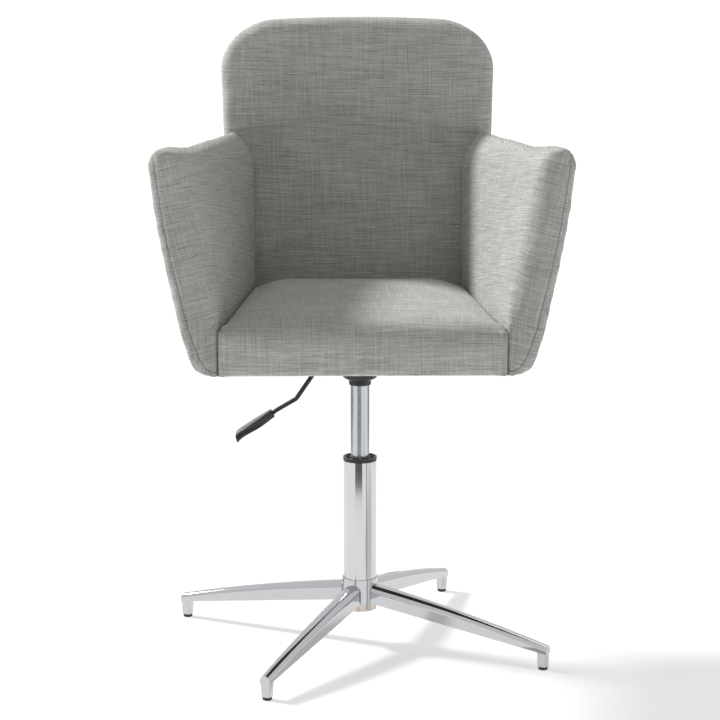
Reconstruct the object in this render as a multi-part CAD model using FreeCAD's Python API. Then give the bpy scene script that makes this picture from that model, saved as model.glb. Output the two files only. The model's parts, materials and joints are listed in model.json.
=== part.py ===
import FreeCAD, Part
import math
import os

from FreeCAD import Vector

# Upholstered swivel armchair on a gas lift and a four-leg base.
# Millimetres. +Z is up, the chair faces -Y, and +X is on the right seen from the front.
# The origin is on the floor, on the axis of the column.

# ---- clearances ----
FIT = 0.05            # radial clearance of a seated round part
RUNNING = 0.06        # radial clearance of a shaft that turns or slides
SOFT_GAP = 0.3        # between soft parts, and between parts of different bodies
BOLT_GAP = 0.3        # radial clearance of a screw in a through hole

# ---- base ----
GLIDE_CIRCLE_R = 300.0
FIRST_LEG_DEG = -27.1
LEG_NAMES = ("right", "rear", "left", "front")
GLIDE_R = 7.0
GLIDE_H = 5.0
GLIDE_STEM_R = 3.0
GLIDE_STEM_H = 14.0

LEG_ROOT_W = 27.0
LEG_TIP_W = 15.6
LEG_ROOT_TOP_Z = 94.0
LEG_ROOT_BOTTOM_Z = 67.0
LEG_TIP_TOP_Z = 37.0
LEG_TIP_BOTTOM_Z = 25.0
LEG_CROWN = 4.0          # rise of the top line over a straight one
LEG_ROOF = 6.0           # wall above the hollow
LEG_WALL = 3.0
LEG_ROOT_EDGE_R = 11.0
LEG_TIP_EDGE_R = 7.2
LEG_SEAM = 0.5           # gap line between a leg's root and the hub
FOOT_BOTTOM_W = 14.0
FOOT_OVERLAP = 4.0       # how far the foot reaches up into the leg
FOOT_EDGE_R = 3.5

# ---- column ----
COLUMN_R = 25.0
COLUMN_WALL = 1.5
COLUMN_TOP_Z = 285.0
COLUMN_LIP_H = 1.5
COLUMN_LIP_W = 7.0
PLATE_H = 4.0
BUSHING_L = 70.0
BUSHING_FLANGE_H = 5.5
BUSHING_FLANGE_LIP = 0.2
BUSHING_WALL = 2.0
POCKET_COUNT = 8
POCKET_DEPTH = 62.0
RIB_W = 3.0

# ---- hub ----
HUB_WALL = 2.0
HUB_BOSS_STEP = 2.0
HUB_BOSS_H = 12.0        # below the legs' undersides
HUB_COLLAR_H = 10.0      # above the legs' roots
HUB_FLOOR_H = 13.0
HUB_FLOOR_HOLE_R = 13.0
TONGUE_LENGTH = 45.0
TONGUE_SIDE_GAP = 1.0
TONGUE_H = 12.0
LEG_SCREW_R = 3.0
LEG_SCREW_HEAD_R = 5.0
LEG_SCREW_HEAD_H = 5.0
LEG_SCREW_BITE = 5.0
LEG_SCREW_FIRST = 12.0   # from the hub's wall
LEG_SCREW_PITCH = 20.0

# ---- piston rod and thrust bearing ----
ROD_R = 5.0
ROD_NECK_CUT = 1.0
ROD_HEAD_LIP = 1.5
ROD_HEAD_H = 3.0
ROD_TAIL = 3.6
GROOVE_DEPTH = 1.0
CLIP_W = 6.0
CLIP_H = 1.2
WASHER_H = 2.0
WASHER_RIM = 3.5         # from the ball circle to the washers' edge
BALL_R = 2.0
BALL_INSET = 2.5         # from the rod to the ball circle
BALL_COUNT = 8
CAGE_H = 1.2
CAGE_RIM = 3.2
BUMP_H = 20.0
BUMP_WALL = 7.0

# ---- gas spring ----
LIFT_STROKE = 100.0
TUBE_R = 14.0
TUBE_WALL = 1.5
TUBE_TAPER_H = 30.0
TUBE_TAPER_CUT = 0.7
TUBE_LIP_H = 1.5
TUBE_LIP_W = 6.0
GUIDE_H = 24.5
SEAL_H = 8.0
LINER_GAP = 1.7          # oil and gas space between the tube and the inner cylinder
LINER_WALL = 1.3
VALVE_H = 59.0
PISTON_ABOVE_SEAL = 4.0
PISTON_H = 12.0
PISTON_SEAL_H = 4.0
PISTON_SEAL_DEPTH = 1.5
VALVE_PIN_R = 2.5
VALVE_PIN_BELOW = 36.0
VALVE_PIN_ROOM = 6.0

# ---- mechanism, measured down from the mount plate's underside ----
MOUNT_PLATE_Z = 461.0
MOUNT_PLATE_H = 3.0
MOUNT_PLATE_X = 180.0
MOUNT_PLATE_Y = 160.0
MOUNT_PLATE_CORNER_R = 12.0
MOUNT_HOLE_X = 150.0
MOUNT_HOLE_Y = 125.0
MOUNT_SCREW_R = 3.0
MOUNT_SCREW_HEAD_R = 6.0
MOUNT_SCREW_HEAD_H = 4.0
TEE_BARREL_R = 4.0
TEE_BARREL_H = 10.0
TEE_FLANGE_R = 9.0
TEE_FLANGE_H = 1.5
SOCKET_WALL = 5.0
SOCKET_DROP = 13.0       # from the plate to the socket's top
TUBE_DROP = 2.0          # from the socket's top to the tube's end
HOUSING_H = 31.0
HOUSING_SIDE_ROOM = 13.0
HOUSING_BACK_ROOM = 15.0
HOUSING_LEVER_ROOM = 27.0
HOUSING_WALL = 2.5
HOUSING_CORNER_R = 5.0
FUNNEL_H = 29.0
FUNNEL_WALL = 1.6
FUNNEL_COLLAR_WALL = 2.2
FUNNEL_COLLAR_H = 6.0
FUNNEL_STEP_H = 11.0
FUNNEL_STEP_ROOM = 6.0
FUNNEL_TOP_ROOM = 11.0

# ---- lever; bends and handle are measured from its pivot ----
LEVER_PIVOT_ROOM = 11.0
LEVER_PIVOT_DROP = 6.0
LEVER_PIN_R = 2.5
LEVER_EYE_WALL = 3.0
LEVER_EYE_W = 14.0
LEVER_FINGER_H = 5.0
LEVER_FINGER_W = 8.0
LEVER_FINGER_PAST = 4.0
LEVER_FREE_PLAY = 0.2    # between the finger and the valve pin
LEVER_ROD_R = 3.4
LEVER_SLOT_SIDE = 3.6
LEVER_SLOT_H = 25.0
LEVER_BENDS = ((-22.0, -13.0), (-65.0, -76.0), (-94.0, -93.0))
LEVER_ROD_END = (-144.0, -127.0)
LEVER_BEND_R = 12.0
HANDLE_START = (-100.0, -97.0)
HANDLE_END = (-156.0, -136.0)
HANDLE_W = 28.0
HANDLE_COLLAR_H = 12.0
HANDLE_BELLY_H = 15.0
HANDLE_TIP_H = 11.0
HANDLE_HOLLOW = 1.5      # how far the underside is drawn in
HANDLE_EDGE_R = 3.5

# ---- upholstery ----
OVERALL_H = 926.0
BACK_RECLINE_DEG = 10.0
BACK_FRONT_Y = 137.0     # front face of the back at the shell's bottom
BACK_THICK = 46.0
BACK_BOTTOM_HALF_W = 180.0
BACK_ARM_HALF_W = 202.0
BACK_TOP_HALF_W = 205.0
BACK_CORNER_R = 64.0
BACK_EDGE_R = 16.0
ARM_REAR_H = 292.0       # above the shell's bottom
ARM_FRONT_H = 306.0
ARM_FRONT_Y = -245.0     # front face of the arm at the shell's bottom
ARM_FRONT_LEAN = 50.0    # how far back the arm's front is at the top
ARM_FRONT_OUTER_X = 300.0
SEAT_H = 76.0
SEAT_FRONT_HALF_W = 203.0
SEAT_REAR_HALF_W = 157.0
SEAT_LIP_R = 26.0
SEAT_NOSE = 2.0          # how far the seat stands in front of the arms
SEAT_PANEL_H = 20.0      # front wall of the cushion, in front of the board

# ---- frame inside the upholstery ----
BOARD_H = 15.0
BOARD_INSET = 6.0
PLY_H = 12.0
ARM_FRAME_INSET = 6.0
ARM_FRAME_REAR_INSET = 4.0
ARM_FRAME_OUTER_INSET = 27.0
FRAME_INSET_TOP = 30.0
FRAME_INSET_END = 22.0
FRAME_SCREW_R = 2.5
FRAME_SCREW_L = 46.0
FRAME_SCREW_SPAN_X = 180.0
FRAME_SCREW_YS = (-130.0, 50.0)
DUST_COVER_H = 1.0
DUST_COVER_OVERLAP = 12.0
STAPLE_L = 10.0
STAPLE_W = 0.9
STAPLE_H = 0.6
STAPLE_PITCH = 44.0
STAPLE_INSET = 5.0
STAPLES_EACH_WAY = 3     # on either side of the middle of an edge

# ---- sizes that follow from those above ----
HUB_R = COLUMN_R + HUB_WALL
HUB_BOSS_R = HUB_R - HUB_BOSS_STEP
HUB_BOTTOM_Z = LEG_ROOT_BOTTOM_Z - HUB_BOSS_H
HUB_TOP_Z = LEG_ROOT_TOP_Z + HUB_COLLAR_H
COLUMN_SEAT_Z = HUB_BOTTOM_Z + HUB_FLOOR_H
COLUMN_INNER_R = COLUMN_R - COLUMN_WALL
PLATE_Z = COLUMN_SEAT_Z + COLUMN_LIP_H

ROD_NECK_R = ROD_R - ROD_NECK_CUT
CLIP_Z = PLATE_Z - CLIP_H - RUNNING
BALL_CIRCLE_R = ROD_R + BALL_INSET
WASHER_R = BALL_CIRCLE_R + WASHER_RIM
LOWER_WASHER_Z = PLATE_Z + PLATE_H
BALL_Z = LOWER_WASHER_Z + WASHER_H + BALL_R
UPPER_WASHER_Z = BALL_Z + BALL_R
BUMP_Z = UPPER_WASHER_Z + WASHER_H

SOCKET_R = TUBE_R + SOCKET_WALL
SOCKET_TOP_Z = MOUNT_PLATE_Z - SOCKET_DROP
TUBE_TOP_Z = SOCKET_TOP_Z - TUBE_DROP
TUBE_TAPER_Z = TUBE_TOP_Z - TUBE_TAPER_H
TUBE_TAPER_TOP_R = TUBE_R - TUBE_TAPER_CUT
TUBE_INNER_R = TUBE_R - TUBE_WALL
TUBE_BOTTOM_Z = BUMP_Z + BUMP_H + LIFT_STROKE + SOFT_GAP
GUIDE_Z = TUBE_BOTTOM_Z + TUBE_LIP_H
SEAL_Z = GUIDE_Z + GUIDE_H
LINER_Z = SEAL_Z + SEAL_H
LINER_R = TUBE_INNER_R - LINER_GAP
PISTON_Z = LINER_Z + PISTON_ABOVE_SEAL
VALVE_Z = TUBE_TOP_Z - TUBE_LIP_H - VALVE_H
BUSHING_TOP_Z = COLUMN_TOP_Z + BUSHING_FLANGE_H

HOUSING_BOTTOM_Z = MOUNT_PLATE_Z - HOUSING_H
HOUSING_HALF_W = SOCKET_R + HOUSING_SIDE_ROOM
HOUSING_BACK_X = SOCKET_R + HOUSING_BACK_ROOM
HOUSING_LEVER_X = -SOCKET_R - HOUSING_LEVER_ROOM
LEVER_PIVOT_X = -SOCKET_R - LEVER_PIVOT_ROOM
LEVER_PIVOT_Z = MOUNT_PLATE_Z - LEVER_PIVOT_DROP
VALVE_PIN_TOP_Z = LEVER_PIVOT_Z - LEVER_FINGER_H / 2 - LEVER_FREE_PLAY

SHELL_BOTTOM_Z = MOUNT_PLATE_Z + MOUNT_PLATE_H + DUST_COVER_H
BOARD_TOP_Z = SHELL_BOTTOM_Z + BOARD_H
SEAT_TOP_Z = SHELL_BOTTOM_Z + SEAT_H
SEAT_FRONT_Y = ARM_FRONT_Y - SEAT_NOSE
ARM_REAR_TOP_Z = SHELL_BOTTOM_Z + ARM_REAR_H
ARM_FRONT_TOP_Z = SHELL_BOTTOM_Z + ARM_FRONT_H
RECLINE = math.tan(math.radians(BACK_RECLINE_DEG))
BACK_DEPTH = BACK_THICK / math.cos(math.radians(BACK_RECLINE_DEG))

UP = Vector(0, 0, 1)
BIG = 1000.0


def cylinder(radius, z_low, z_high, x=0.0, y=0.0):
    return Part.makeCylinder(radius, z_high - z_low, Vector(x, y, z_low), UP)


def ring(outer_r, inner_r, z_low, z_high):
    return cylinder(outer_r, z_low, z_high).cut(cylinder(inner_r, z_low - 1, z_high + 1))


def block(x_low, x_high, y_low, y_high, z_low, z_high):
    corner = Vector(x_low, y_low, z_low)
    return Part.makeBox(x_high - x_low, y_high - y_low, z_high - z_low, corner)


def cylinder_y(radius, x, z, y_low, y_high):
    return Part.makeCylinder(radius, y_high - y_low, Vector(x, y_low, z), Vector(0, 1, 0))


def cylinder_x(radius, y, z, x_low, x_high):
    return Part.makeCylinder(radius, x_high - x_low, Vector(x_low, y, z), Vector(1, 0, 0))


def turned(points):
    """Solid of revolution about Z from (radius, z) points."""
    wire = Part.makePolygon([Vector(r, 0, z) for r, z in points + points[:1]])
    return Part.Face(wire).revolve(Vector(0, 0, 0), UP, 360)


def prism_y(edges, half_w):
    """Closed outline in the XZ plane, made solid between -half_w and +half_w along Y."""
    face = Part.Face(Part.Wire(edges))
    face.translate(Vector(0, -half_w, 0))
    return face.extrude(Vector(0, 2 * half_w, 0))


def line(start, end):
    return Part.LineSegment(start, end).toShape()


def arc(start, middle, end):
    return Part.Arc(start, middle, end).toShape()


def polygon_edges(points):
    return [line(a, b) for a, b in zip(points, points[1:] + points[:1])]


def rotated(shape, degrees):
    copy = shape.copy()
    copy.rotate(Vector(0, 0, 0), UP, degrees)
    return copy


def mirrored(shape):
    return shape.mirror(Vector(0, 0, 0), Vector(1, 0, 0))


def is_upright(edge):
    """True for an edge that climbs, not one that lies level."""
    return edge.BoundBox.ZLength > 1


def group(shapes):
    return Part.makeCompound(shapes)


def save(node, shape):
    shape.exportStep("parts/" + node + ".step")


# ------------------------------------------------------------------ base

LEG_TIP_X = GLIDE_CIRCLE_R + LEG_TIP_W / 2
LEG_ROOT_X = HUB_R + LEG_SEAM
LEG_ANGLES = [FIRST_LEG_DEG + 90.0 * i for i in range(len(LEG_NAMES))]


def leg_line(x, root_z, tip_z):
    """Height at x on the straight line from the root to the tip."""
    return root_z + (tip_z - root_z) * (x - LEG_ROOT_X) / (LEG_TIP_X - LEG_ROOT_X)


def leg_roof(x):
    return leg_line(x, LEG_ROOT_TOP_Z, LEG_TIP_TOP_Z) - LEG_ROOF


def leg_side(x):
    """Half width of the leg at x."""
    return leg_line(x, LEG_ROOT_W, LEG_TIP_W) / 2


def leg_screw_places():
    first = HUB_R + LEG_SCREW_FIRST
    return (first, first + LEG_SCREW_PITCH)


def make_leg():
    inner_x = HUB_R - LEG_ROOT_W / 2
    top_root = Vector(inner_x, 0, leg_line(inner_x, LEG_ROOT_TOP_Z, LEG_TIP_TOP_Z))
    top_tip = Vector(LEG_TIP_X, 0, LEG_TIP_TOP_Z)
    middle = (top_root + top_tip) * 0.5 + Vector(0, 0, LEG_CROWN)
    low_tip = Vector(LEG_TIP_X, 0, LEG_TIP_BOTTOM_Z)
    low_root = Vector(inner_x, 0, leg_line(inner_x, LEG_ROOT_BOTTOM_Z, LEG_TIP_BOTTOM_Z))
    side = [arc(top_root, middle, top_tip), line(top_tip, low_tip)]
    side += [line(low_tip, low_root), line(low_root, top_root)]
    bar = prism_y(side, LEG_ROOT_W)

    def plan(x_end, wall):
        """Tapered plan of the leg, drawn in by wall on both sides."""
        near = leg_side(inner_x) - wall
        far = leg_side(x_end) - wall
        corners = [Vector(inner_x, -near, 0), Vector(x_end, -far, 0)]
        corners += [Vector(x_end, far, 0), Vector(inner_x, near, 0)]
        return Part.Face(Part.Wire(polygon_edges(corners))).extrude(Vector(0, 0, LEG_ROOT_TOP_Z + BIG))

    outside = bar.common(plan(LEG_TIP_X, 0.0))
    outside = with_rolled_edge(outside, -1)
    outside = with_rolled_edge(outside, 1)
    hollow_end = GLIDE_CIRCLE_R - LEG_TIP_W / 2 - LEG_WALL
    low = [Vector(inner_x - 1, 0, 0), Vector(hollow_end, 0, 0)]
    roof = [Vector(hollow_end, 0, leg_roof(hollow_end)), Vector(inner_x - 1, 0, leg_roof(inner_x - 1))]
    hollow = prism_y(polygon_edges(low + roof), LEG_ROOT_W).common(plan(hollow_end, LEG_WALL))
    leg = outside.cut(hollow).fuse(make_foot())
    leg = leg.cut(cylinder(LEG_ROOT_X, 0, LEG_ROOT_TOP_Z + LEG_ROOT_W))
    for x in leg_screw_places():
        leg = leg.cut(cylinder(LEG_SCREW_R + FIT, 0, leg_roof(x) + LEG_SCREW_BITE + FIT, x))
    stem_top = GLIDE_H + GLIDE_STEM_H + FIT
    leg = leg.cut(cylinder(GLIDE_STEM_R + FIT, 0, stem_top, GLIDE_CIRCLE_R))
    return leg.removeSplitter()


def with_rolled_edge(leg, side):
    """Leg with one long top edge rolled over, by a radius that shrinks towards the tip."""
    edge = [e for e in leg.Edges if is_top_edge(e, side)][0]
    root_first = edge.valueAt(edge.FirstParameter).x < LEG_TIP_X / 2
    first, last = (LEG_ROOT_EDGE_R, LEG_TIP_EDGE_R) if root_first else (LEG_TIP_EDGE_R, LEG_ROOT_EDGE_R)
    return leg.makeFillet(first, last, [edge])


def is_top_edge(edge, side):
    """True for the long edge along the leg's top on one side, -1 or 1."""
    box = edge.BoundBox
    return box.XLength > LEG_TIP_X / 2 and box.ZMin > LEG_TIP_TOP_Z - 1 and box.Center.y * side > LEG_TIP_W / 4


def make_foot():
    """Square foot that narrows towards the glide, with softened corners."""
    def square(width, z):
        half = width / 2
        signs = ((-1, -1), (1, -1), (1, 1), (-1, 1))
        wire = Part.Wire(polygon_edges([Vector(half * x, half * y, 0) for x, y in signs]))
        wire.translate(Vector(GLIDE_CIRCLE_R, 0, z))
        return wire
    top_z = LEG_TIP_BOTTOM_Z + FOOT_OVERLAP
    foot = Part.makeLoft([square(FOOT_BOTTOM_W, GLIDE_H), square(LEG_TIP_W, top_z)], True, True)
    return foot.makeFillet(FOOT_EDGE_R, [e for e in foot.Edges if is_upright(e)])


def make_hub():
    hub = cylinder(HUB_BOSS_R, HUB_BOTTOM_Z, LEG_ROOT_BOTTOM_Z)
    hub = hub.fuse(cylinder(HUB_R, LEG_ROOT_BOTTOM_Z, HUB_TOP_Z))
    end_x = HUB_R + TONGUE_LENGTH
    top = [Vector(COLUMN_R, 0, leg_roof(COLUMN_R)), Vector(end_x, 0, leg_roof(end_x))]
    low = [Vector(end_x, 0, leg_roof(end_x) - TONGUE_H), Vector(COLUMN_R, 0, leg_roof(COLUMN_R) - TONGUE_H)]
    half_w = leg_side(end_x) - LEG_WALL - TONGUE_SIDE_GAP
    tongue = prism_y(polygon_edges(top + low), half_w)
    for x in leg_screw_places():
        tongue = tongue.cut(cylinder(LEG_SCREW_R + BOLT_GAP, 0, HUB_TOP_Z, x))
    for angle in LEG_ANGLES:
        hub = hub.fuse(rotated(tongue, angle))
    hub = hub.cut(cylinder(COLUMN_R + FIT, COLUMN_SEAT_Z, HUB_TOP_Z + 1))
    return hub.cut(cylinder(HUB_FLOOR_HOLE_R, HUB_BOTTOM_Z - 1, COLUMN_SEAT_Z + 1))


def make_leg_screws():
    """Socket screws; a level head meets the sloping tongue at its outer edge."""
    slope = (LEG_ROOT_TOP_Z - LEG_TIP_TOP_Z) / (LEG_TIP_X - LEG_ROOT_X)
    screws = []
    for angle in LEG_ANGLES:
        for x in leg_screw_places():
            seat_z = leg_roof(x) - TONGUE_H - LEG_SCREW_HEAD_R * slope
            head = cylinder(LEG_SCREW_HEAD_R, seat_z - LEG_SCREW_HEAD_H, seat_z, x)
            shank = cylinder(LEG_SCREW_R, seat_z, leg_roof(x) + LEG_SCREW_BITE, x)
            socket = cylinder(LEG_SCREW_R, seat_z - LEG_SCREW_HEAD_H, seat_z - LEG_SCREW_HEAD_H / 2, x)
            screws.append(rotated(head.fuse(shank).cut(socket), angle))
    return group(screws)


def make_glide():
    foot = cylinder(GLIDE_R, 0, GLIDE_H, GLIDE_CIRCLE_R)
    rim = [e for e in foot.Edges if e.BoundBox.ZMax < 1 and e.BoundBox.XLength > 1]
    foot = foot.makeFillet(GLIDE_H / 3, rim)
    return foot.fuse(cylinder(GLIDE_STEM_R, GLIDE_H, GLIDE_H + GLIDE_STEM_H, GLIDE_CIRCLE_R))


def build_base():
    save("base_hub", make_hub())
    leg = make_leg()
    glide = make_glide()
    for name, angle in zip(LEG_NAMES, LEG_ANGLES):
        save("leg_" + name, rotated(leg, angle))
        save("glide_" + name, rotated(glide, angle))
    save("leg_screws", make_leg_screws())


# ------------------------------------------------------------------ column and bearing

def make_column_tube():
    tube = ring(COLUMN_R, COLUMN_INNER_R, COLUMN_SEAT_Z, COLUMN_TOP_Z)
    return tube.fuse(ring(COLUMN_R, COLUMN_INNER_R - COLUMN_LIP_W, COLUMN_SEAT_Z, PLATE_Z))


def make_bushing():
    sleeve_r = TUBE_R + RUNNING
    outer_r = COLUMN_INNER_R - FIT
    flange_r = COLUMN_R + BUSHING_FLANGE_LIP
    bushing = ring(outer_r, sleeve_r, COLUMN_TOP_Z - BUSHING_L, COLUMN_TOP_Z)
    bushing = bushing.fuse(ring(flange_r, sleeve_r, COLUMN_TOP_Z, BUSHING_TOP_Z))
    pocket_z = BUSHING_TOP_Z - POCKET_DEPTH
    pocket_ring = ring(outer_r - BUSHING_WALL, sleeve_r + BUSHING_WALL, pocket_z, BUSHING_TOP_Z + 1)
    for i in range(POCKET_COUNT):
        rib = block(0, flange_r, -RIB_W / 2, RIB_W / 2, pocket_z - 1, BUSHING_TOP_Z + 2)
        pocket_ring = pocket_ring.cut(rotated(rib, 360.0 * i / POCKET_COUNT))
    return bushing.cut(pocket_ring)


def ball_places():
    turns = [2 * math.pi * i / BALL_COUNT for i in range(BALL_COUNT)]
    return [Vector(BALL_CIRCLE_R * math.cos(t), BALL_CIRCLE_R * math.sin(t), BALL_Z) for t in turns]


def make_cage():
    cage = ring(BALL_CIRCLE_R + CAGE_RIM, ROD_NECK_R + RUNNING, BALL_Z - CAGE_H / 2, BALL_Z + CAGE_H / 2)
    for place in ball_places():
        cage = cage.cut(cylinder(BALL_R + FIT, BALL_Z - CAGE_H, BALL_Z + CAGE_H, place.x, place.y))
    return cage


def make_rod():
    """Piston rod: a neck through the bearing, the shaft, and a riveted head on the piston."""
    rod = cylinder(ROD_NECK_R, CLIP_Z - ROD_TAIL, BUMP_Z)
    rod = rod.fuse(cylinder(ROD_R, BUMP_Z, PISTON_Z))
    rod = rod.fuse(cylinder(ROD_NECK_R, PISTON_Z, PISTON_Z + PISTON_H))
    head_z = PISTON_Z + PISTON_H
    rod = rod.fuse(cylinder(ROD_NECK_R + ROD_HEAD_LIP, head_z, head_z + ROD_HEAD_H))
    return rod.cut(ring(ROD_R, ROD_NECK_R - GROOVE_DEPTH, CLIP_Z, CLIP_Z + CLIP_H))


def make_rod_clip():
    """Round clip in the rod's groove, under the column's bottom plate."""
    inner_r = ROD_NECK_R - GROOVE_DEPTH + FIT
    clip = ring(inner_r + CLIP_W, inner_r, CLIP_Z + FIT, CLIP_Z + CLIP_H - FIT)
    return clip.cut(block(0, BIG, -inner_r / 2, inner_r / 2, 0, PLATE_Z))


def make_piston():
    bore_r = LINER_R - LINER_WALL
    piston = ring(bore_r - RUNNING, ROD_NECK_R + FIT, PISTON_Z, PISTON_Z + PISTON_H)
    seal_z = PISTON_Z + (PISTON_H - PISTON_SEAL_H) / 2
    seal_inner_r = bore_r - RUNNING - PISTON_SEAL_DEPTH
    groove = ring(bore_r + 1, seal_inner_r, seal_z, seal_z + PISTON_SEAL_H)
    seal = ring(bore_r - RUNNING / 2, seal_inner_r + FIT, seal_z + FIT, seal_z + PISTON_SEAL_H - FIT)
    return piston.cut(groove), seal


def build_column():
    save("column_tube", make_column_tube())
    save("column_bottom_plate", ring(COLUMN_INNER_R - FIT, ROD_NECK_R + RUNNING, PLATE_Z, LOWER_WASHER_Z))
    save("guide_bushing", make_bushing())
    lower_top = LOWER_WASHER_Z + WASHER_H
    save("thrust_washer_lower", ring(WASHER_R, ROD_NECK_R + RUNNING, LOWER_WASHER_Z, lower_top))
    save("thrust_cage", make_cage())
    save("thrust_balls", group([Part.makeSphere(BALL_R - FIT, place) for place in ball_places()]))
    save("thrust_washer_upper", ring(WASHER_R, ROD_NECK_R + FIT, UPPER_WASHER_Z, BUMP_Z))
    save("bump_stop", ring(ROD_R + BUMP_WALL, ROD_R + FIT, BUMP_Z, BUMP_Z + BUMP_H))
    save("piston_rod", make_rod())
    save("rod_clip", make_rod_clip())
    piston, seal = make_piston()
    save("piston", piston)
    save("piston_seal", seal)


# ------------------------------------------------------------------ gas spring

def taper_r(z):
    """Outer radius of the pressure tube at height z in its taper."""
    share = (z - TUBE_TAPER_Z) / (TUBE_TOP_Z - TUBE_TAPER_Z)
    return TUBE_R + (TUBE_TAPER_TOP_R - TUBE_R) * share


def make_pressure_tube():
    inner = TUBE_INNER_R
    top_inner = TUBE_TAPER_TOP_R - TUBE_WALL
    crimp_z = TUBE_TOP_Z - TUBE_LIP_H
    lip = TUBE_R - TUBE_LIP_W
    outline = [(lip, TUBE_BOTTOM_Z), (TUBE_R, TUBE_BOTTOM_Z), (TUBE_R, TUBE_TAPER_Z)]
    outline += [(TUBE_TAPER_TOP_R, TUBE_TOP_Z), (lip, TUBE_TOP_Z), (lip, crimp_z)]
    outline += [(top_inner, crimp_z), (inner, TUBE_TAPER_Z), (inner, GUIDE_Z), (lip, GUIDE_Z)]
    return turned(outline)


def make_valve_body():
    top_z = TUBE_TOP_Z - TUBE_LIP_H
    top_r = TUBE_TAPER_TOP_R - TUBE_WALL - FIT
    outer_r = TUBE_INNER_R - FIT
    body = turned([(0, VALVE_Z), (outer_r, VALVE_Z), (outer_r, TUBE_TAPER_Z), (top_r, top_z), (0, top_z)])
    bore_z = TUBE_TOP_Z - VALVE_PIN_BELOW - VALVE_PIN_ROOM
    return body.cut(cylinder(VALVE_PIN_R + RUNNING, bore_z, top_z + 1))


def make_release_pin():
    """Valve pin with a domed end that the lever pushes."""
    dome = Part.makeSphere(VALVE_PIN_R, Vector(0, 0, VALVE_PIN_TOP_Z - VALVE_PIN_R))
    shaft_z = TUBE_TOP_Z - VALVE_PIN_BELOW
    return cylinder(VALVE_PIN_R, shaft_z, VALVE_PIN_TOP_Z - VALVE_PIN_R).fuse(dome).removeSplitter()


def build_gas_spring():
    save("pressure_tube", make_pressure_tube())
    save("end_guide", ring(TUBE_INNER_R - FIT, ROD_R + RUNNING, GUIDE_Z, SEAL_Z))
    save("rod_seal", ring(TUBE_INNER_R - FIT, ROD_R + RUNNING, SEAL_Z, LINER_Z))
    save("inner_cylinder", ring(LINER_R, LINER_R - LINER_WALL, LINER_Z, VALVE_Z))
    save("valve_body", make_valve_body())
    save("release_pin", make_release_pin())


# ------------------------------------------------------------------ mechanism

def mount_places():
    half_x = MOUNT_HOLE_X / 2
    half_y = MOUNT_HOLE_Y / 2
    return [(x, y) for x in (-half_x, half_x) for y in (-half_y, half_y)]


def make_funnel():
    """Black cover that flares from a collar on the tube to the housing."""
    bottom_z = HOUSING_BOTTOM_Z - FUNNEL_H
    collar_z = bottom_z + FUNNEL_COLLAR_H
    step_z = bottom_z + FUNNEL_STEP_H
    bore_r = TUBE_R + BOLT_GAP
    collar_r = bore_r + FUNNEL_COLLAR_WALL
    step_r = SOCKET_R + FUNNEL_STEP_ROOM
    top_r = SOCKET_R + FUNNEL_TOP_ROOM
    outline = [(bore_r, bottom_z), (collar_r, bottom_z), (collar_r, collar_z), (step_r, step_z)]
    outline += [(top_r, HOUSING_BOTTOM_Z), (top_r - FUNNEL_WALL, HOUSING_BOTTOM_Z)]
    outline += [(step_r - FUNNEL_WALL, step_z + FUNNEL_WALL), (bore_r, collar_z + FUNNEL_WALL)]
    return turned(outline)


def make_socket():
    """Ring with the tapered bore that the pressure tube wedges into."""
    outer = cylinder(SOCKET_R, TUBE_TAPER_Z + FUNNEL_WALL, SOCKET_TOP_Z)
    low_z = TUBE_TAPER_Z
    bore = [(0, low_z), (taper_r(low_z) + FIT, low_z), (taper_r(SOCKET_TOP_Z) + FIT, SOCKET_TOP_Z + FIT)]
    return outer.cut(turned(bore + [(0, SOCKET_TOP_Z + FIT)]))


def make_housing():
    """Open-topped pressed box under the mount plate; the lever leaves through its slot."""
    half = HOUSING_HALF_W
    wall = HOUSING_WALL
    housing = block(HOUSING_LEVER_X, HOUSING_BACK_X, -half, half, HOUSING_BOTTOM_Z, MOUNT_PLATE_Z)
    housing = housing.makeFillet(HOUSING_CORNER_R, [e for e in housing.Edges if is_upright(e)])
    inside = block(HOUSING_LEVER_X + wall, HOUSING_BACK_X - wall, wall - half, half - wall,
                   HOUSING_BOTTOM_Z + wall, MOUNT_PLATE_Z + 1)
    inside = inside.makeFillet(HOUSING_CORNER_R - wall, [e for e in inside.Edges if is_upright(e)])
    housing = housing.cut(inside).cut(cylinder(SOCKET_R + FIT, HOUSING_BOTTOM_Z - 1, SOCKET_TOP_Z))
    slot_half = LEVER_ROD_R + LEVER_SLOT_SIDE
    slot = block(HOUSING_LEVER_X - 1, HOUSING_LEVER_X + wall + 1, -slot_half, slot_half,
                 MOUNT_PLATE_Z - LEVER_SLOT_H, MOUNT_PLATE_Z + 1)
    pin_hole = cylinder_y(LEVER_PIN_R + FIT, LEVER_PIVOT_X, LEVER_PIVOT_Z, -half - 1, half + 1)
    return housing.cut(slot).cut(pin_hole)


def make_mount_plate():
    plate = block(-MOUNT_PLATE_X / 2, MOUNT_PLATE_X / 2, -MOUNT_PLATE_Y / 2, MOUNT_PLATE_Y / 2,
                  MOUNT_PLATE_Z, MOUNT_PLATE_Z + MOUNT_PLATE_H)
    plate = plate.makeFillet(MOUNT_PLATE_CORNER_R, [e for e in plate.Edges if is_upright(e)])
    for x, y in mount_places():
        plate = plate.cut(cylinder(MOUNT_SCREW_R + BOLT_GAP, MOUNT_PLATE_Z - 1, SHELL_BOTTOM_Z, x, y))
    return plate


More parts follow.
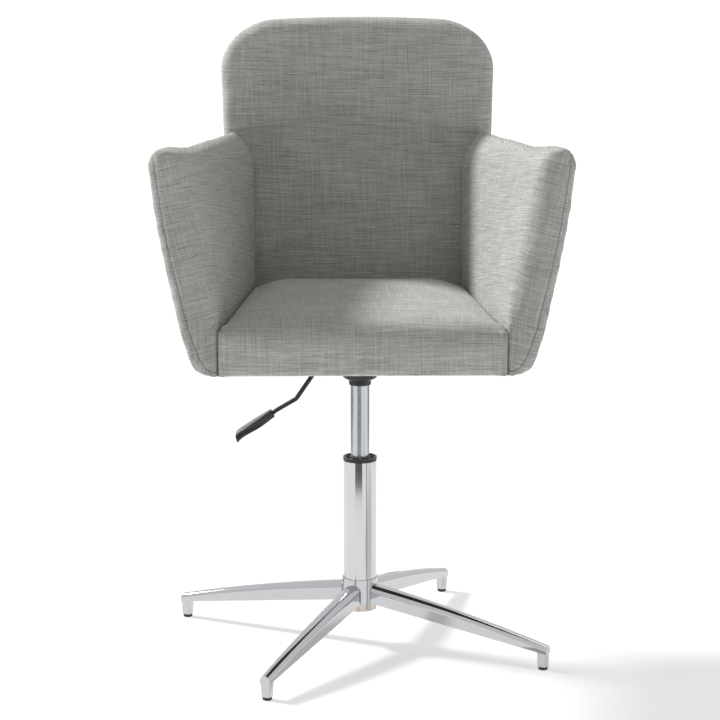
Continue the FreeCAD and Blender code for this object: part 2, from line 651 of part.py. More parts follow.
def make_mount_screws():
    screws = []
    for x, y in mount_places():
        head_z = MOUNT_PLATE_Z - MOUNT_SCREW_HEAD_H
        head = cylinder(MOUNT_SCREW_HEAD_R, head_z, MOUNT_PLATE_Z, x, y)
        shank = cylinder(MOUNT_SCREW_R, MOUNT_PLATE_Z, BOARD_TOP_Z - FIT, x, y)
        drive = cylinder(MOUNT_SCREW_R - BOLT_GAP, head_z, head_z + MOUNT_SCREW_HEAD_H / 2, x, y)
        screws.append(head.fuse(shank).cut(drive))
    return group(screws)


def make_tee_nuts():
    nuts = []
    for x, y in mount_places():
        barrel = cylinder(TEE_BARREL_R, BOARD_TOP_Z - TEE_BARREL_H, BOARD_TOP_Z, x, y)
        flange = cylinder(TEE_FLANGE_R, BOARD_TOP_Z, BOARD_TOP_Z + TEE_FLANGE_H, x, y)
        bore = cylinder(MOUNT_SCREW_R + FIT, SHELL_BOTTOM_Z, BOARD_TOP_Z + TEE_BARREL_H, x, y)
        nuts.append(barrel.fuse(flange).cut(bore))
    return group(nuts)


def build_mechanism():
    save("funnel_cover", make_funnel())
    save("taper_socket", make_socket())
    save("mechanism_housing", make_housing())
    save("mount_plate", make_mount_plate())
    half = HOUSING_HALF_W
    save("lever_pivot_pin", cylinder_y(LEVER_PIN_R, LEVER_PIVOT_X, LEVER_PIVOT_Z, -half, half))
    save("mount_screws", make_mount_screws())
    save("tee_nuts", make_tee_nuts())


# ------------------------------------------------------------------ lever

def rounded_path(points, radius):
    """Wire of straight runs joined by arcs of one radius, in the XZ plane."""
    edges = []
    start = points[0]
    for before, corner, after in zip(points, points[1:], points[2:]):
        back = (before - corner).normalize()
        ahead = (after - corner).normalize()
        half_turn = (math.pi - back.getAngle(ahead)) / 2
        reach = radius * math.tan(half_turn)
        centre_distance = radius / math.cos(half_turn)
        inward = (back + ahead).normalize()
        arc_start = corner + back * reach
        arc_end = corner + ahead * reach
        arc_middle = corner + inward * (centre_distance - radius)
        edges.append(line(start, arc_start))
        edges.append(arc(arc_start, arc_middle, arc_end))
        start = arc_end
    edges.append(line(start, points[-1]))
    return Part.Wire(edges)


def from_pivot(place):
    return Vector(LEVER_PIVOT_X + place[0], 0, LEVER_PIVOT_Z + place[1])


def make_lever_rod():
    pivot = from_pivot((0, 0))
    points = [pivot] + [from_pivot(place) for place in LEVER_BENDS] + [from_pivot(LEVER_ROD_END)]
    path = rounded_path(points, LEVER_BEND_R)
    direction = (points[1] - points[0]).normalize()
    section = Part.Wire(Part.Circle(pivot, direction, LEVER_ROD_R).toShape())
    rod = path.makePipeShell([section], True, False)
    half_w = LEVER_EYE_W / 2
    eye = cylinder_y(LEVER_PIN_R + LEVER_EYE_WALL, LEVER_PIVOT_X, LEVER_PIVOT_Z, -half_w, half_w)
    finger = block(LEVER_PIVOT_X, LEVER_FINGER_PAST, -LEVER_FINGER_W / 2, LEVER_FINGER_W / 2,
                   LEVER_PIVOT_Z - LEVER_FINGER_H / 2, LEVER_PIVOT_Z + LEVER_FINGER_H / 2)
    bore = cylinder_y(LEVER_PIN_R + RUNNING, LEVER_PIVOT_X, LEVER_PIVOT_Z, -half_w - 1, half_w + 1)
    return eye.fuse(rod).fuse(finger).cut(bore)


def make_handle():
    """Paddle grip: a collar on the rod, a full belly and a cut tip."""
    start = from_pivot(HANDLE_START)
    end = from_pivot(HANDLE_END)
    along = (end - start).normalize()
    across = Vector(along.z, 0, -along.x)
    length = (end - start).Length

    def at(distance, height):
        return start + along * distance + across * height

    top_start = at(0, HANDLE_COLLAR_H / 2)
    top_end = at(length, HANDLE_TIP_H / 2)
    low_end = at(length, -HANDLE_TIP_H / 2)
    low_start = at(0, -HANDLE_COLLAR_H / 2)
    top = arc(top_start, at(length / 2, HANDLE_BELLY_H / 2), top_end)
    low = arc(low_end, at(length / 2, HANDLE_HOLLOW - HANDLE_COLLAR_H / 2), low_start)
    handle = prism_y([top, line(top_end, low_end), low, line(low_start, top_start)], HANDLE_W / 2)
    handle = handle.makeFillet(HANDLE_EDGE_R, handle.Edges)
    rod_start = from_pivot(LEVER_BENDS[-1])
    rod_run = from_pivot(LEVER_ROD_END) - rod_start
    bore = Part.makeCylinder(LEVER_ROD_R + FIT, rod_run.Length + FIT, rod_start, rod_run)
    return handle.cut(bore)


def build_lever():
    save("lever_rod", make_lever_rod())
    save("lever_handle", make_handle())


# ------------------------------------------------------------------ upholstery

def back_face_y(z):
    """Y of the back's front face at height z."""
    return BACK_FRONT_Y + (z - SHELL_BOTTOM_Z) * RECLINE


def arm_front_y(z):
    share = (z - SHELL_BOTTOM_Z) / (ARM_FRONT_TOP_Z - SHELL_BOTTOM_Z)
    return ARM_FRONT_Y + ARM_FRONT_LEAN * share


def on_back(x, z, inset=0.0):
    return Vector(x, back_face_y(z) - inset, z)


def on_front(x, z):
    return Vector(x, arm_front_y(z), z)


def slab(edges, depth, shift=0.0):
    """Leaning slab from an outline drawn on the back's front face."""
    face = Part.Face(Part.Wire(edges))
    face.translate(Vector(0, shift, 0))
    return face.extrude(Vector(0, depth, 0))


def make_back(pocket):
    top = OVERALL_H
    shoulder_z = top - BACK_CORNER_R
    flat_x = BACK_TOP_HALF_W - BACK_CORNER_R
    bend = BACK_CORNER_R * (1 - math.sqrt(0.5))
    right = [on_back(BACK_BOTTOM_HALF_W, SHELL_BOTTOM_Z), on_back(BACK_ARM_HALF_W, ARM_REAR_TOP_Z)]
    right += [on_back(BACK_TOP_HALF_W, shoulder_z)]
    right += [on_back(BACK_TOP_HALF_W - bend, top - bend), on_back(flat_x, top)]
    left = [Vector(-p.x, p.y, p.z) for p in right]
    edges = [line(left[0], right[0]), line(right[0], right[1]), line(right[1], right[2])]
    edges += [arc(right[2], right[3], right[4]), line(right[4], left[4])]
    edges += [arc(left[4], left[3], left[2]), line(left[2], left[1]), line(left[1], left[0])]
    back = slab(edges, BACK_DEPTH)
    rims = [e for e in back.Edges if e.BoundBox.ZMax > SHELL_BOTTOM_Z + 1 and not crosses_slab(e)]
    return back.makeFillet(BACK_EDGE_R, rims).cut(pocket)


def crosses_slab(edge):
    """True for the short edges that join the slab's two faces."""
    return edge.BoundBox.ZLength < 0.1 and edge.BoundBox.XLength < 0.1


def back_frame_outline(grow):
    """A pocket, which is a frame grown all round, also opens below the shell."""
    low = BACK_BOTTOM_HALF_W - FRAME_INSET_END + grow
    high = BACK_TOP_HALF_W - FRAME_INSET_END + grow
    top = OVERALL_H - FRAME_INSET_TOP + grow
    corner = BACK_CORNER_R - FRAME_INSET_END
    right = [on_back(low, SHELL_BOTTOM_Z - grow), on_back(high, top - corner)]
    right += [on_back(high - corner, top)]
    left = [Vector(-p.x, p.y, p.z) for p in reversed(right)]
    return polygon_edges(right + left)


def make_back_frame(grow):
    shift = (BACK_DEPTH - PLY_H) / 2 - grow
    return slab(back_frame_outline(grow), PLY_H + 2 * grow, shift)


def arm_section(place, points):
    """Closed section of an arm: flat underside, rounded top. place puts (x, z) on its plane."""
    p = {name: place(x, z) for name, (x, z) in points.items()}
    edges = [line(p["inner_low"], p["outer_low"]), arc(p["outer_low"], p["outer_turn"], p["outer_base"])]
    edges += [arc(p["outer_base"], p["outer_mid"], p["outer_top"])]
    edges += [arc(p["outer_top"], p["top_turn"], p["top_outer"]), line(p["top_outer"], p["top_inner"])]
    edges += [arc(p["top_inner"], p["inner_turn"], p["inner_top"])]
    edges += [arc(p["inner_top"], p["inner_mid"], p["inner_seat"]), line(p["inner_seat"], p["inner_low"])]
    return Part.Wire(edges)


def front_arm_points():
    low = SHELL_BOTTOM_Z
    outer = ARM_FRONT_OUTER_X
    inner = SEAT_FRONT_HALF_W
    top = ARM_FRONT_TOP_Z
    return {
        "inner_low": (inner, low), "outer_low": (inner + 26, low),
        "outer_turn": (inner + 36, low + 7), "outer_base": (inner + 43, low + 25),
        "outer_mid": (outer - 21, low + 160), "outer_top": (outer - 0.5, top - 38),
        "top_turn": (outer - 3.5, top - 10), "top_outer": (outer - 15, top - 1),
        "top_inner": (outer - 37, top - 4), "inner_turn": (outer - 46, top - 10),
        "inner_top": (outer - 51, top - 21), "inner_mid": (outer - 80, low + 167),
        "inner_seat": (inner - 1, SEAT_TOP_Z),
    }


def rear_arm_points():
    low = SHELL_BOTTOM_Z
    inner = SEAT_REAR_HALF_W
    outer_low = BACK_BOTTOM_HALF_W
    outer = BACK_ARM_HALF_W
    top = ARM_REAR_TOP_Z
    return {
        "inner_low": (inner, low), "outer_low": (outer_low - 6, low),
        "outer_turn": (outer_low - 2, low + 2), "outer_base": (outer_low, low + 8),
        "outer_mid": ((outer + outer_low) / 2, (low + top) / 2), "outer_top": (outer, top - 22),
        "top_turn": (outer - 2, top - 8), "top_outer": (outer - 9, top - 2),
        "top_inner": (outer - 14, top - 2), "inner_turn": (inner + 12, top - 22),
        "inner_top": (inner + 1, top - 56), "inner_mid": (inner, top - 130),
        "inner_seat": (inner, SEAT_TOP_Z),
    }


def make_arm(pocket):
    """Right arm: a ruled slab from the leaning front end to the back's front face."""
    def at_rear(x, z):
        return on_back(x, z, SOFT_GAP)
    front = arm_section(on_front, front_arm_points())
    rear = arm_section(at_rear, rear_arm_points())
    return Part.makeLoft([front, rear], True, True).cut(pocket)


def arm_frame_wire(place, low_x, high_x, low_z, top_z, half):
    """End section of an arm frame, carried on below the shell's bottom to low_z."""
    low_x += (high_x - low_x) * (low_z - SHELL_BOTTOM_Z) / (top_z - SHELL_BOTTOM_Z)
    corners = [place(low_x - half, low_z), place(low_x + half, low_z)]
    corners += [place(high_x + half, top_z), place(high_x - half, top_z)]
    return Part.Wire(polygon_edges(corners))


def make_arm_frame(grow):
    """Leaning plywood panel inside the right arm."""
    half = PLY_H / 2 + grow
    front_low = SEAT_FRONT_HALF_W + ARM_FRAME_INSET + PLY_H / 2
    front_high = ARM_FRONT_OUTER_X - ARM_FRAME_OUTER_INSET
    rear_low = SEAT_REAR_HALF_W + ARM_FRAME_REAR_INSET + PLY_H / 2
    rear_high = (SEAT_REAR_HALF_W + BACK_ARM_HALF_W) / 2
    end = FRAME_INSET_END - grow

    def at_front(x, z):
        return on_front(x, z) + Vector(0, end, 0)

    def at_rear(x, z):
        return on_back(x, z, end)

    low = SHELL_BOTTOM_Z - grow
    top = ARM_REAR_TOP_Z - FRAME_INSET_TOP - FRAME_INSET_END + grow
    front = arm_frame_wire(at_front, front_low, front_high, low, top + FRAME_INSET_END, half)
    rear = arm_frame_wire(at_rear, rear_low, rear_high, low, top, half)
    return Part.makeLoft([front, rear], True, True)


def seat_half_w(y):
    """Half width of the seat where it meets the arms."""
    share = (y - ARM_FRONT_Y) / (BACK_FRONT_Y - ARM_FRONT_Y)
    return SEAT_FRONT_HALF_W + (SEAT_REAR_HALF_W - SEAT_FRONT_HALF_W) * share


def seat_plan(grow_side, front_y, rear_y, z_low, z_high):
    """Tapered prism that follows the seat's sides, grown or drawn in."""
    front = seat_half_w(front_y) + grow_side
    rear = seat_half_w(rear_y) + grow_side
    corners = [Vector(-front, front_y, z_low), Vector(front, front_y, z_low)]
    corners += [Vector(rear, rear_y, z_low), Vector(-rear, rear_y, z_low)]
    return Part.Face(Part.Wire(polygon_edges(corners))).extrude(Vector(0, 0, z_high - z_low))


def behind_back_face(gap):
    """Everything behind the back's front face, brought forward by gap."""
    low = Vector(-BIG, back_face_y(0) - gap, 0)
    high = Vector(-BIG, back_face_y(BIG) - gap, BIG)
    corners = [low, high, Vector(-BIG, BIG, BIG), Vector(-BIG, BIG, 0)]
    return Part.Face(Part.Wire(polygon_edges(corners))).extrude(Vector(2 * BIG, 0, 0))


def make_seat_board():
    front = SEAT_FRONT_Y + SEAT_PANEL_H
    board = seat_plan(-BOARD_INSET, front, BACK_FRONT_Y - BOARD_INSET, SHELL_BOTTOM_Z, BOARD_TOP_Z)
    for x, y in mount_places():
        board = board.cut(cylinder(TEE_BARREL_R + FIT, SHELL_BOTTOM_Z - 1, BOARD_TOP_Z + 1, x, y))
    return board


def is_seat_lip(edge):
    box = edge.BoundBox
    return box.ZMin > SEAT_TOP_Z - 1 and box.YMax < SEAT_FRONT_Y + 1


def make_seat_cushion():
    rear = back_face_y(SEAT_TOP_Z)
    cushion = seat_plan(-SOFT_GAP, SEAT_FRONT_Y, rear, SHELL_BOTTOM_Z, SEAT_TOP_Z)
    cushion = cushion.cut(behind_back_face(SOFT_GAP))
    cushion = cushion.makeFillet(SEAT_LIP_R, [e for e in cushion.Edges if is_seat_lip(e)])
    front = SEAT_FRONT_Y + SEAT_PANEL_H - SOFT_GAP
    side = SOFT_GAP - BOARD_INSET
    board_room = seat_plan(side, front, BIG, SHELL_BOTTOM_Z - 1, BOARD_TOP_Z)
    cushion = cushion.cut(board_room)
    for x, y in mount_places():
        room = cylinder(TEE_FLANGE_R + SOFT_GAP, SHELL_BOTTOM_Z, BOARD_TOP_Z + TEE_FLANGE_H + SOFT_GAP, x, y)
        cushion = cushion.cut(room)
    return cushion


def frame_screw_cylinders(radius):
    """Screws that join the arm frames and the back frame to the edges of the seat board."""
    z = SHELL_BOTTOM_Z + BOARD_H / 2
    screws = []
    for y in FRAME_SCREW_YS:
        outer = seat_half_w(y) + ARM_FRAME_REAR_INSET + PLY_H
        screws.append(cylinder_x(radius, y, z, outer - FRAME_SCREW_L, outer))
        screws.append(cylinder_x(radius, y, z, -outer, FRAME_SCREW_L - outer))
    rear = back_face_y(z) + (BACK_DEPTH + PLY_H) / 2
    for x in (-FRAME_SCREW_SPAN_X / 2, FRAME_SCREW_SPAN_X / 2):
        screws.append(cylinder_y(radius, x, z, rear - FRAME_SCREW_L, rear))
    return screws


def make_dust_cover():
    top = SHELL_BOTTOM_Z
    front = SEAT_FRONT_Y + SEAT_PANEL_H / 2
    cover = seat_plan(DUST_COVER_OVERLAP, front, BACK_FRONT_Y + DUST_COVER_OVERLAP, top - DUST_COVER_H, top)
    for x, y in mount_places():
        cover = cover.cut(cylinder(MOUNT_SCREW_R + BOLT_GAP, top - DUST_COVER_H - 1, top + 1, x, y))
    return cover


def make_staples():
    """Flat staple crowns round the edge of the dust cover."""
    top = SHELL_BOTTOM_Z - DUST_COVER_H
    front = SEAT_FRONT_Y + SEAT_PANEL_H / 2 + STAPLE_INSET
    rear = BACK_FRONT_Y + DUST_COVER_OVERLAP - STAPLE_INSET

    def crown(x, y, x_size, y_size):
        return block(x - x_size / 2, x + x_size / 2, y - y_size / 2, y + y_size / 2, top - STAPLE_H, top)

    staples = []
    for i in range(-STAPLES_EACH_WAY, STAPLES_EACH_WAY + 1):
        step = i * STAPLE_PITCH
        staples.append(crown(step, front, STAPLE_L, STAPLE_W))
        staples.append(crown(step, rear, STAPLE_L, STAPLE_W))
        y = (front + rear) / 2 + step
        side = crown(seat_half_w(y) + DUST_COVER_OVERLAP - STAPLE_INSET, y, STAPLE_W, STAPLE_L)
        staples += [side, mirrored(side)]
    return group(staples)


def without(shape, tools):
    for tool in tools:
        shape = shape.cut(tool)
    return shape


def build_upholstery():
    screw_holes = frame_screw_cylinders(FRAME_SCREW_R + FIT)
    save("frame_screws", group(frame_screw_cylinders(FRAME_SCREW_R)))
    save("seat_board", without(make_seat_board(), screw_holes))
    save("seat_cushion", without(make_seat_cushion(), screw_holes))
    save("back_frame", without(make_back_frame(0), screw_holes))
    save("back_cushion", without(make_back(make_back_frame(SOFT_GAP)), screw_holes))
    frame = without(make_arm_frame(0), screw_holes)
    arm = without(make_arm(make_arm_frame(SOFT_GAP)), screw_holes)
    save("arm_frame_right", frame)
    save("arm_frame_left", mirrored(frame))
    save("arm_cushion_right", arm)
    save("arm_cushion_left", mirrored(arm))
    save("dust_cover", make_dust_cover())
    save("staples", make_staples())


os.makedirs("parts", exist_ok=True)
build_base()
build_column()
build_gas_spring()
build_mechanism()
build_lever()
build_upholstery()
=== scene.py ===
import json
import math

import bmesh
import bpy
import numpy as np
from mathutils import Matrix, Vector
from mathutils.bvhtree import BVHTree

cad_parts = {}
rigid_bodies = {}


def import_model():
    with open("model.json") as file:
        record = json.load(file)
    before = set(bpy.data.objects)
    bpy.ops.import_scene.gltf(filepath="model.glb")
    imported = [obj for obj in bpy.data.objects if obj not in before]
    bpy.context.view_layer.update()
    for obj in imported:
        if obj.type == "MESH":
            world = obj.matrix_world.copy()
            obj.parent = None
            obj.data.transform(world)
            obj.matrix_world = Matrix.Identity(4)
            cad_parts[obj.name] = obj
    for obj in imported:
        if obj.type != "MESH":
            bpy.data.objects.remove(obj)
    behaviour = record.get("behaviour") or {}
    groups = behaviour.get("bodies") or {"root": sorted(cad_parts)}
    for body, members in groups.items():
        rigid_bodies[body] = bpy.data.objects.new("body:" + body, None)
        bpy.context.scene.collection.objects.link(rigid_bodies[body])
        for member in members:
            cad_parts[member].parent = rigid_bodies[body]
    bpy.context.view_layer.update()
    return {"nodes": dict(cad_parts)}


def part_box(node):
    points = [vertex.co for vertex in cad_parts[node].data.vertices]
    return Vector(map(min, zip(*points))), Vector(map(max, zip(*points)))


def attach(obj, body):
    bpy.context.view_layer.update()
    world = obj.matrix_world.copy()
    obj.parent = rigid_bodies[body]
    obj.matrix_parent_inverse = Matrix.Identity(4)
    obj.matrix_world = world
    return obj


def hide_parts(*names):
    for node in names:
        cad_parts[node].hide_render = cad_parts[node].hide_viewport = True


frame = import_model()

# Looks of an upholstered swivel armchair on a gas lift. Metres, +Z up, the chair faces -Y.

bl_info = {
    "name": "Swivel armchair looks",
    "version": (1, 0, 0),
    "blender": (4, 5, 0),
    "location": "3D View > Sidebar > Armchair",
    "description": "Upholstery, metalwork and studio of a swivel armchair on a gas lift",
    "category": "Object",
}

NODES = frame["nodes"]
UV_NAME = "weave"
SEAM_NAME = "seam"

# ---- shape of the shell; the boxes are read off the frame ----
SEAT_LOW, SEAT_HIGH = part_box("seat_cushion")
BACK_LOW, BACK_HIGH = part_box("back_cushion")
ARM_LOW, ARM_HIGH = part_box("arm_cushion_right")
SHELL_BOTTOM = SEAT_LOW.z
SEAT_TOP = SEAT_HIGH.z
BOARD_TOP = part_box("seat_board")[1].z
RECLINE = math.tan(math.radians(10.0))
SHELL_CORNER_R = 0.064
BACK_FRONT_Y = BACK_LOW.y
BACK_DEPTH = BACK_HIGH.y - BACK_LOW.y - (BACK_HIGH.z - BACK_LOW.z) * RECLINE
ARM_FRONT_Y = ARM_LOW.y
ARM_FRONT_SET_BACK = 0.050
ARM_LEAN = ARM_FRONT_SET_BACK / (ARM_HIGH.z - SHELL_BOTTOM)
HUB_BOSS_TOP = 0.066
SEAT_FRONT_HALF = 0.203
SEAT_REAR_HALF = 0.157
# how the padding differs from the shell; the top edge is bowed down by TOP_BOW at BOW_HALF from its middle
SEAT_SIDE_DROP = 0.010
SEAT_REAR_DROP = 0.008
SEAT_CORNER_DROP = 0.007
SHOULDER_R = 0.078
TOP_BOW = 0.004
BOW_HALF = 0.130
BACK_FULLNESS = 0.022
ARM_CORNER_LIFT = 0.010
FACE_CROWN = 0.008
OUTER_FULLNESS = 0.0028
# slits left between the covers, so that none lies in another
SIDE_GAP = 0.0009
SEAT_BACK_GAP = 0.0010
ARM_BACK_GAP = 0.0008
# sewn lines: how far in from an edge, half the width they draw in, spacing of the points along them
SEAM_INSET = 0.006
SEAM_HALF_WIDTH = 0.0028
SEAM_PITCH = 0.005
# dust cloth: its lap past the seat's sides, and its scallops of 44 mm in radians per metre
TURN_IN = 0.012
SCALLOPS = 142.8


def back_face_y(z):
    return BACK_FRONT_Y + (z - SHELL_BOTTOM) * RECLINE


def arm_front_y(z):
    return ARM_FRONT_Y + (z - SHELL_BOTTOM) * ARM_LEAN


def seat_half(y):
    share = (y - ARM_FRONT_Y) / (BACK_FRONT_Y - ARM_FRONT_Y)
    return SEAT_FRONT_HALF + (SEAT_REAR_HALF - SEAT_FRONT_HALF) * share


# inner and outer edge of an arm's front face, by height
FACE_Z = (0.465, 0.490, 0.541, 0.625, 0.700, 0.735, 0.771)
FACE_INNER_X = (0.203, 0.2025, 0.202, 0.2185, 0.237, 0.246, 0.255)
FACE_OUTER_X = (0.229, 0.246, 0.259, 0.279, 0.294, 0.2995, 0.298)


# ------------------------------------------------------------------ sizes and colours

BUFFED = "#C1C2C4"
WARM_GROUND = "#C3B9AE"


def linear(code):
    """sRGB hex to linear colour with alpha."""
    parts = [int(code[i:i + 2], 16) / 255 for i in (1, 3, 5)]
    return tuple(c / 12.92 if c <= 0.04045 else ((c + 0.055) / 1.055) ** 2.4 for c in parts) + (1.0,)


class ArmchairSizes(bpy.types.PropertyGroup):
    seat_crown: bpy.props.FloatProperty(
        name="Seat crown", description="How far the middle of the seat may swell",
        default=0.010, min=0.0, max=0.03, unit="LENGTH")
    back_crown: bpy.props.FloatProperty(
        name="Back crown", description="How far the back's faces may swell",
        default=0.007, min=0.0, max=0.03, unit="LENGTH")
    arm_crown: bpy.props.FloatProperty(
        name="Arm crown", description="How far the arms' faces may swell",
        default=0.005, min=0.0, max=0.03, unit="LENGTH")
    thread_pitch: bpy.props.FloatProperty(
        name="Thread pitch", description="Distance between the cloth's drawn threads",
        default=0.0021, min=0.0004, max=0.01, precision=4, unit="LENGTH")
    seam_depth: bpy.props.FloatProperty(
        name="Seam depth", description="How deep a sewn seam pulls into the padding",
        default=0.0010, min=0.0, max=0.01, precision=4, unit="LENGTH")


class ArmchairColours(bpy.types.PropertyGroup):
    cloth_dark: bpy.props.FloatVectorProperty(
        name="Cloth, dark threads", description="Colour of the darkest slubs",
        default=linear("#71706B"), size=4, min=0, max=1, subtype="COLOR")
    cloth_light: bpy.props.FloatVectorProperty(
        name="Cloth, light threads", description="Colour of the lightest threads",
        default=linear("#D8D7D3"), size=4, min=0, max=1, subtype="COLOR")
    polished: bpy.props.FloatVectorProperty(
        name="Polished metal", description="Colour of the chromed column",
        default=linear("#C9CACC"), size=4, min=0, max=1, subtype="COLOR")
    black: bpy.props.FloatVectorProperty(
        name="Black parts", description="Colour of the plastic and coated parts",
        default=linear("#141413"), size=4, min=0, max=1, subtype="COLOR")


# ------------------------------------------------------------------ materials

def new_tree(name):
    material = bpy.data.materials.new(name)
    material.use_nodes = True
    tree = material.node_tree
    tree.nodes.clear()
    return material, tree


def add(tree, kind, settings=None, links=None):
    """Adds a node; a setting is an input's value where the node has such an input, else a property."""
    node = tree.nodes.new(kind)
    for key, value in (settings or {}).items():
        if isinstance(key, int) or key in node.inputs:
            node.inputs[key].default_value = value
        else:
            setattr(node, key, value)
    for key, source in (links or {}).items():
        tree.links.new(source, node.inputs[key])
    return node


def finish_shader(tree, settings, links):
    shader = add(tree, "ShaderNodeBsdfPrincipled", settings, links)
    add(tree, "ShaderNodeOutputMaterial", None, {"Surface": shader.outputs[0]})


def ramp(tree, source, stops):
    node = add(tree, "ShaderNodeValToRGB", None, {"Fac": source})
    band = node.color_ramp
    while len(band.elements) < len(stops):
        band.elements.new(0.5)
    for element, (place, colour) in zip(band.elements, stops):
        element.position = place
        element.color = colour
    return node.outputs["Color"]


def slub_weave(colours, sizes):
    """Linen-look woven polyester: uneven slub yarns both ways, matt, with a faint sheen."""
    material, tree = new_tree("slub_weave_cloth")
    flat = add(tree, "ShaderNodeUVMap", {"uv_map": UV_NAME}).outputs["UV"]
    # the threads wander by a millimetre or two
    drift = add(tree, "ShaderNodeTexNoise", {"Scale": 11.0, "Detail": 1.0}, {"Vector": flat})
    uv = add(tree, "ShaderNodeVectorMath", {"operation": "MULTIPLY_ADD", 1: (0.005, 0.005, 0.0)},
             {0: drift.outputs["Color"], 2: flat}).outputs[0]

    def streaks(along, across, detail):
        parts = {place: add(tree, "ShaderNodeVectorMath", {"operation": "DOT_PRODUCT", 1: (*rates, 0.0)},
                            {0: uv}).outputs["Value"] for place, rates in enumerate((along, across))}
        place = add(tree, "ShaderNodeCombineXYZ", None, parts).outputs[0]
        settings = {"Scale": 1.0, "Detail": detail, "Roughness": 0.6}
        return add(tree, "ShaderNodeTexNoise", settings, {"Vector": place}).outputs[0]

    # slubs are 30 to 90 mm long and about as thick as two threads; each row starts at another place
    weft = streaks((14.0, 310.0), (0.0, 820.0), 3.0)
    warp = streaks((640.0, 0.0), (270.0, 14.0), 3.0)
    weft_fine = streaks((75.0, 840.0), (0.0, 1900.0), 2.0)
    mottle = streaks((9.0, 0.0), (0.0, 30.0), 2.0)
    # the real threads lie about 0.6 mm apart; they are drawn coarser so that they show
    per_thread = 2 * math.pi / sizes.thread_pitch
    split = add(tree, "ShaderNodeSeparateXYZ", None, {0: uv}).outputs
    waves = []
    for axis, wobble in ((0, warp), (1, weft)):
        turn = add(tree, "ShaderNodeMath", {"operation": "MULTIPLY", 1: per_thread}, {0: split[axis]})
        turn = add(tree, "ShaderNodeMath", {"operation": "MULTIPLY_ADD", 1: 5.0},
                   {0: wobble, 2: turn.outputs[0]})
        waves.append(add(tree, "ShaderNodeMath", {"operation": "SINE"}, {0: turn.outputs[0]}).outputs[0])
    crossing = add(tree, "ShaderNodeMath", {"operation": "MULTIPLY"}, {0: waves[0], 1: waves[1]}).outputs[0]
    tone = None
    shares = ((weft, 0.72), (warp, 0.38), (weft_fine, 0.48), (mottle, 0.07), (crossing, 0.05))
    for source, share in shares:
        part = add(tree, "ShaderNodeMath", {"operation": "MULTIPLY", 1: share}, {0: source}).outputs[0]
        if tone is None:
            tone = part
        else:
            tone = add(tree, "ShaderNodeMath", {"operation": "ADD"}, {0: tone, 1: part}).outputs[0]
    colour = ramp(tree, tone, (
        (0.59, tuple(colours.cloth_dark)),
        (1.0, tuple(colours.cloth_light)),
    ))
    # stitched seams: painted shade, the colour is darkened along each sewn line to stand for the shade in the
    # fold where the cloth turns in
    seam = add(tree, "ShaderNodeAttribute", {"attribute_name": SEAM_NAME}).outputs["Fac"]
    seam = add(tree, "ShaderNodeMath", {"operation": "ABSOLUTE"}, {0: seam}).outputs[0]
    painted_seam_shade = {"From Min": 0.0003, "From Max": 0.0012, "To Min": 0.50, "To Max": 1.0}
    seam = add(tree, "ShaderNodeMapRange", painted_seam_shade, {"Value": seam}).outputs[0]
    colour = add(tree, "ShaderNodeMix", {"data_type": "RGBA", "blend_type": "MULTIPLY", 0: 1.0},
                 {6: colour, 7: seam}).outputs[2]
    relief = add(tree, "ShaderNodeMath", {"operation": "MULTIPLY_ADD", 1: 0.35}, {0: crossing, 2: tone})
    bump = add(tree, "ShaderNodeBump", {"Strength": 0.55, "Distance": 0.0009}, {"Height": relief.outputs[0]})
    gloss = {"Roughness": 0.92, "Specular IOR Level": 0.25, "IOR": 1.5}
    gloss.update({"Sheen Weight": 0.18, "Sheen Roughness": 0.45})
    finish_shader(tree, gloss, {"Base Color": colour, "Normal": bump.outputs[0]})
    return material


def object_noise(tree, scale, detail=2.0, roughness=0.5):
    """Noise on Object coordinates; scale is in cells per metre along each axis."""
    place = add(tree, "ShaderNodeTexCoord").outputs["Object"]
    place = add(tree, "ShaderNodeMapping", {"Scale": scale}, {"Vector": place}).outputs[0]
    settings = {"Scale": 1.0, "Detail": detail, "Roughness": roughness}
    return add(tree, "ShaderNodeTexNoise", settings, {"Vector": place}).outputs[0]


def spread(tree, source, low, high):
    """Brings a 0 to 1 pattern into the range low to high."""
    limits = {"From Min": 0.25, "From Max": 0.75, "To Min": low, "To Max": high}
    return add(tree, "ShaderNodeMapRange", limits, {"Value": source}).outputs[0]


def metal(name, colour, grain, rough, ripple, ripple_height, tone=None):
    """Metal whose gloss varies with grain between two roughnesses and whose reflections waver with ripple.

    Grain and ripple are in cells per metre along each axis, the ripple's height is in metres, and tone, where
    there is one, makes the colour's pattern.
    """
    material, tree = new_tree(name)
    gloss = spread(tree, object_noise(tree, grain, 3.0, 0.6), rough[0], rough[1])
    links = {"Roughness": gloss}
    if ripple_height:
        wave = object_noise(tree, ripple, 2.0)
        links["Normal"] = add(tree, "ShaderNodeBump", {"Strength": 1.0, "Distance": ripple_height},
                              {"Height": wave}).outputs[0]
    if tone:
        links["Base Color"] = tone(tree)
    finish_shader(tree, {"Base Color": colour, "Metallic": 1.0}, links)
    return material


def hub_tone(tree):
    """The hub's lower boss is only ground, not buffed, so it has a warmer cast."""
    place = add(tree, "ShaderNodeTexCoord").outputs["Object"]
    height = add(tree, "ShaderNodeSeparateXYZ", None, {0: place}).outputs[2]
    return ramp(tree, height, ((HUB_BOSS_TOP - 0.001, linear(WARM_GROUND)), (HUB_BOSS_TOP, linear(BUFFED))))


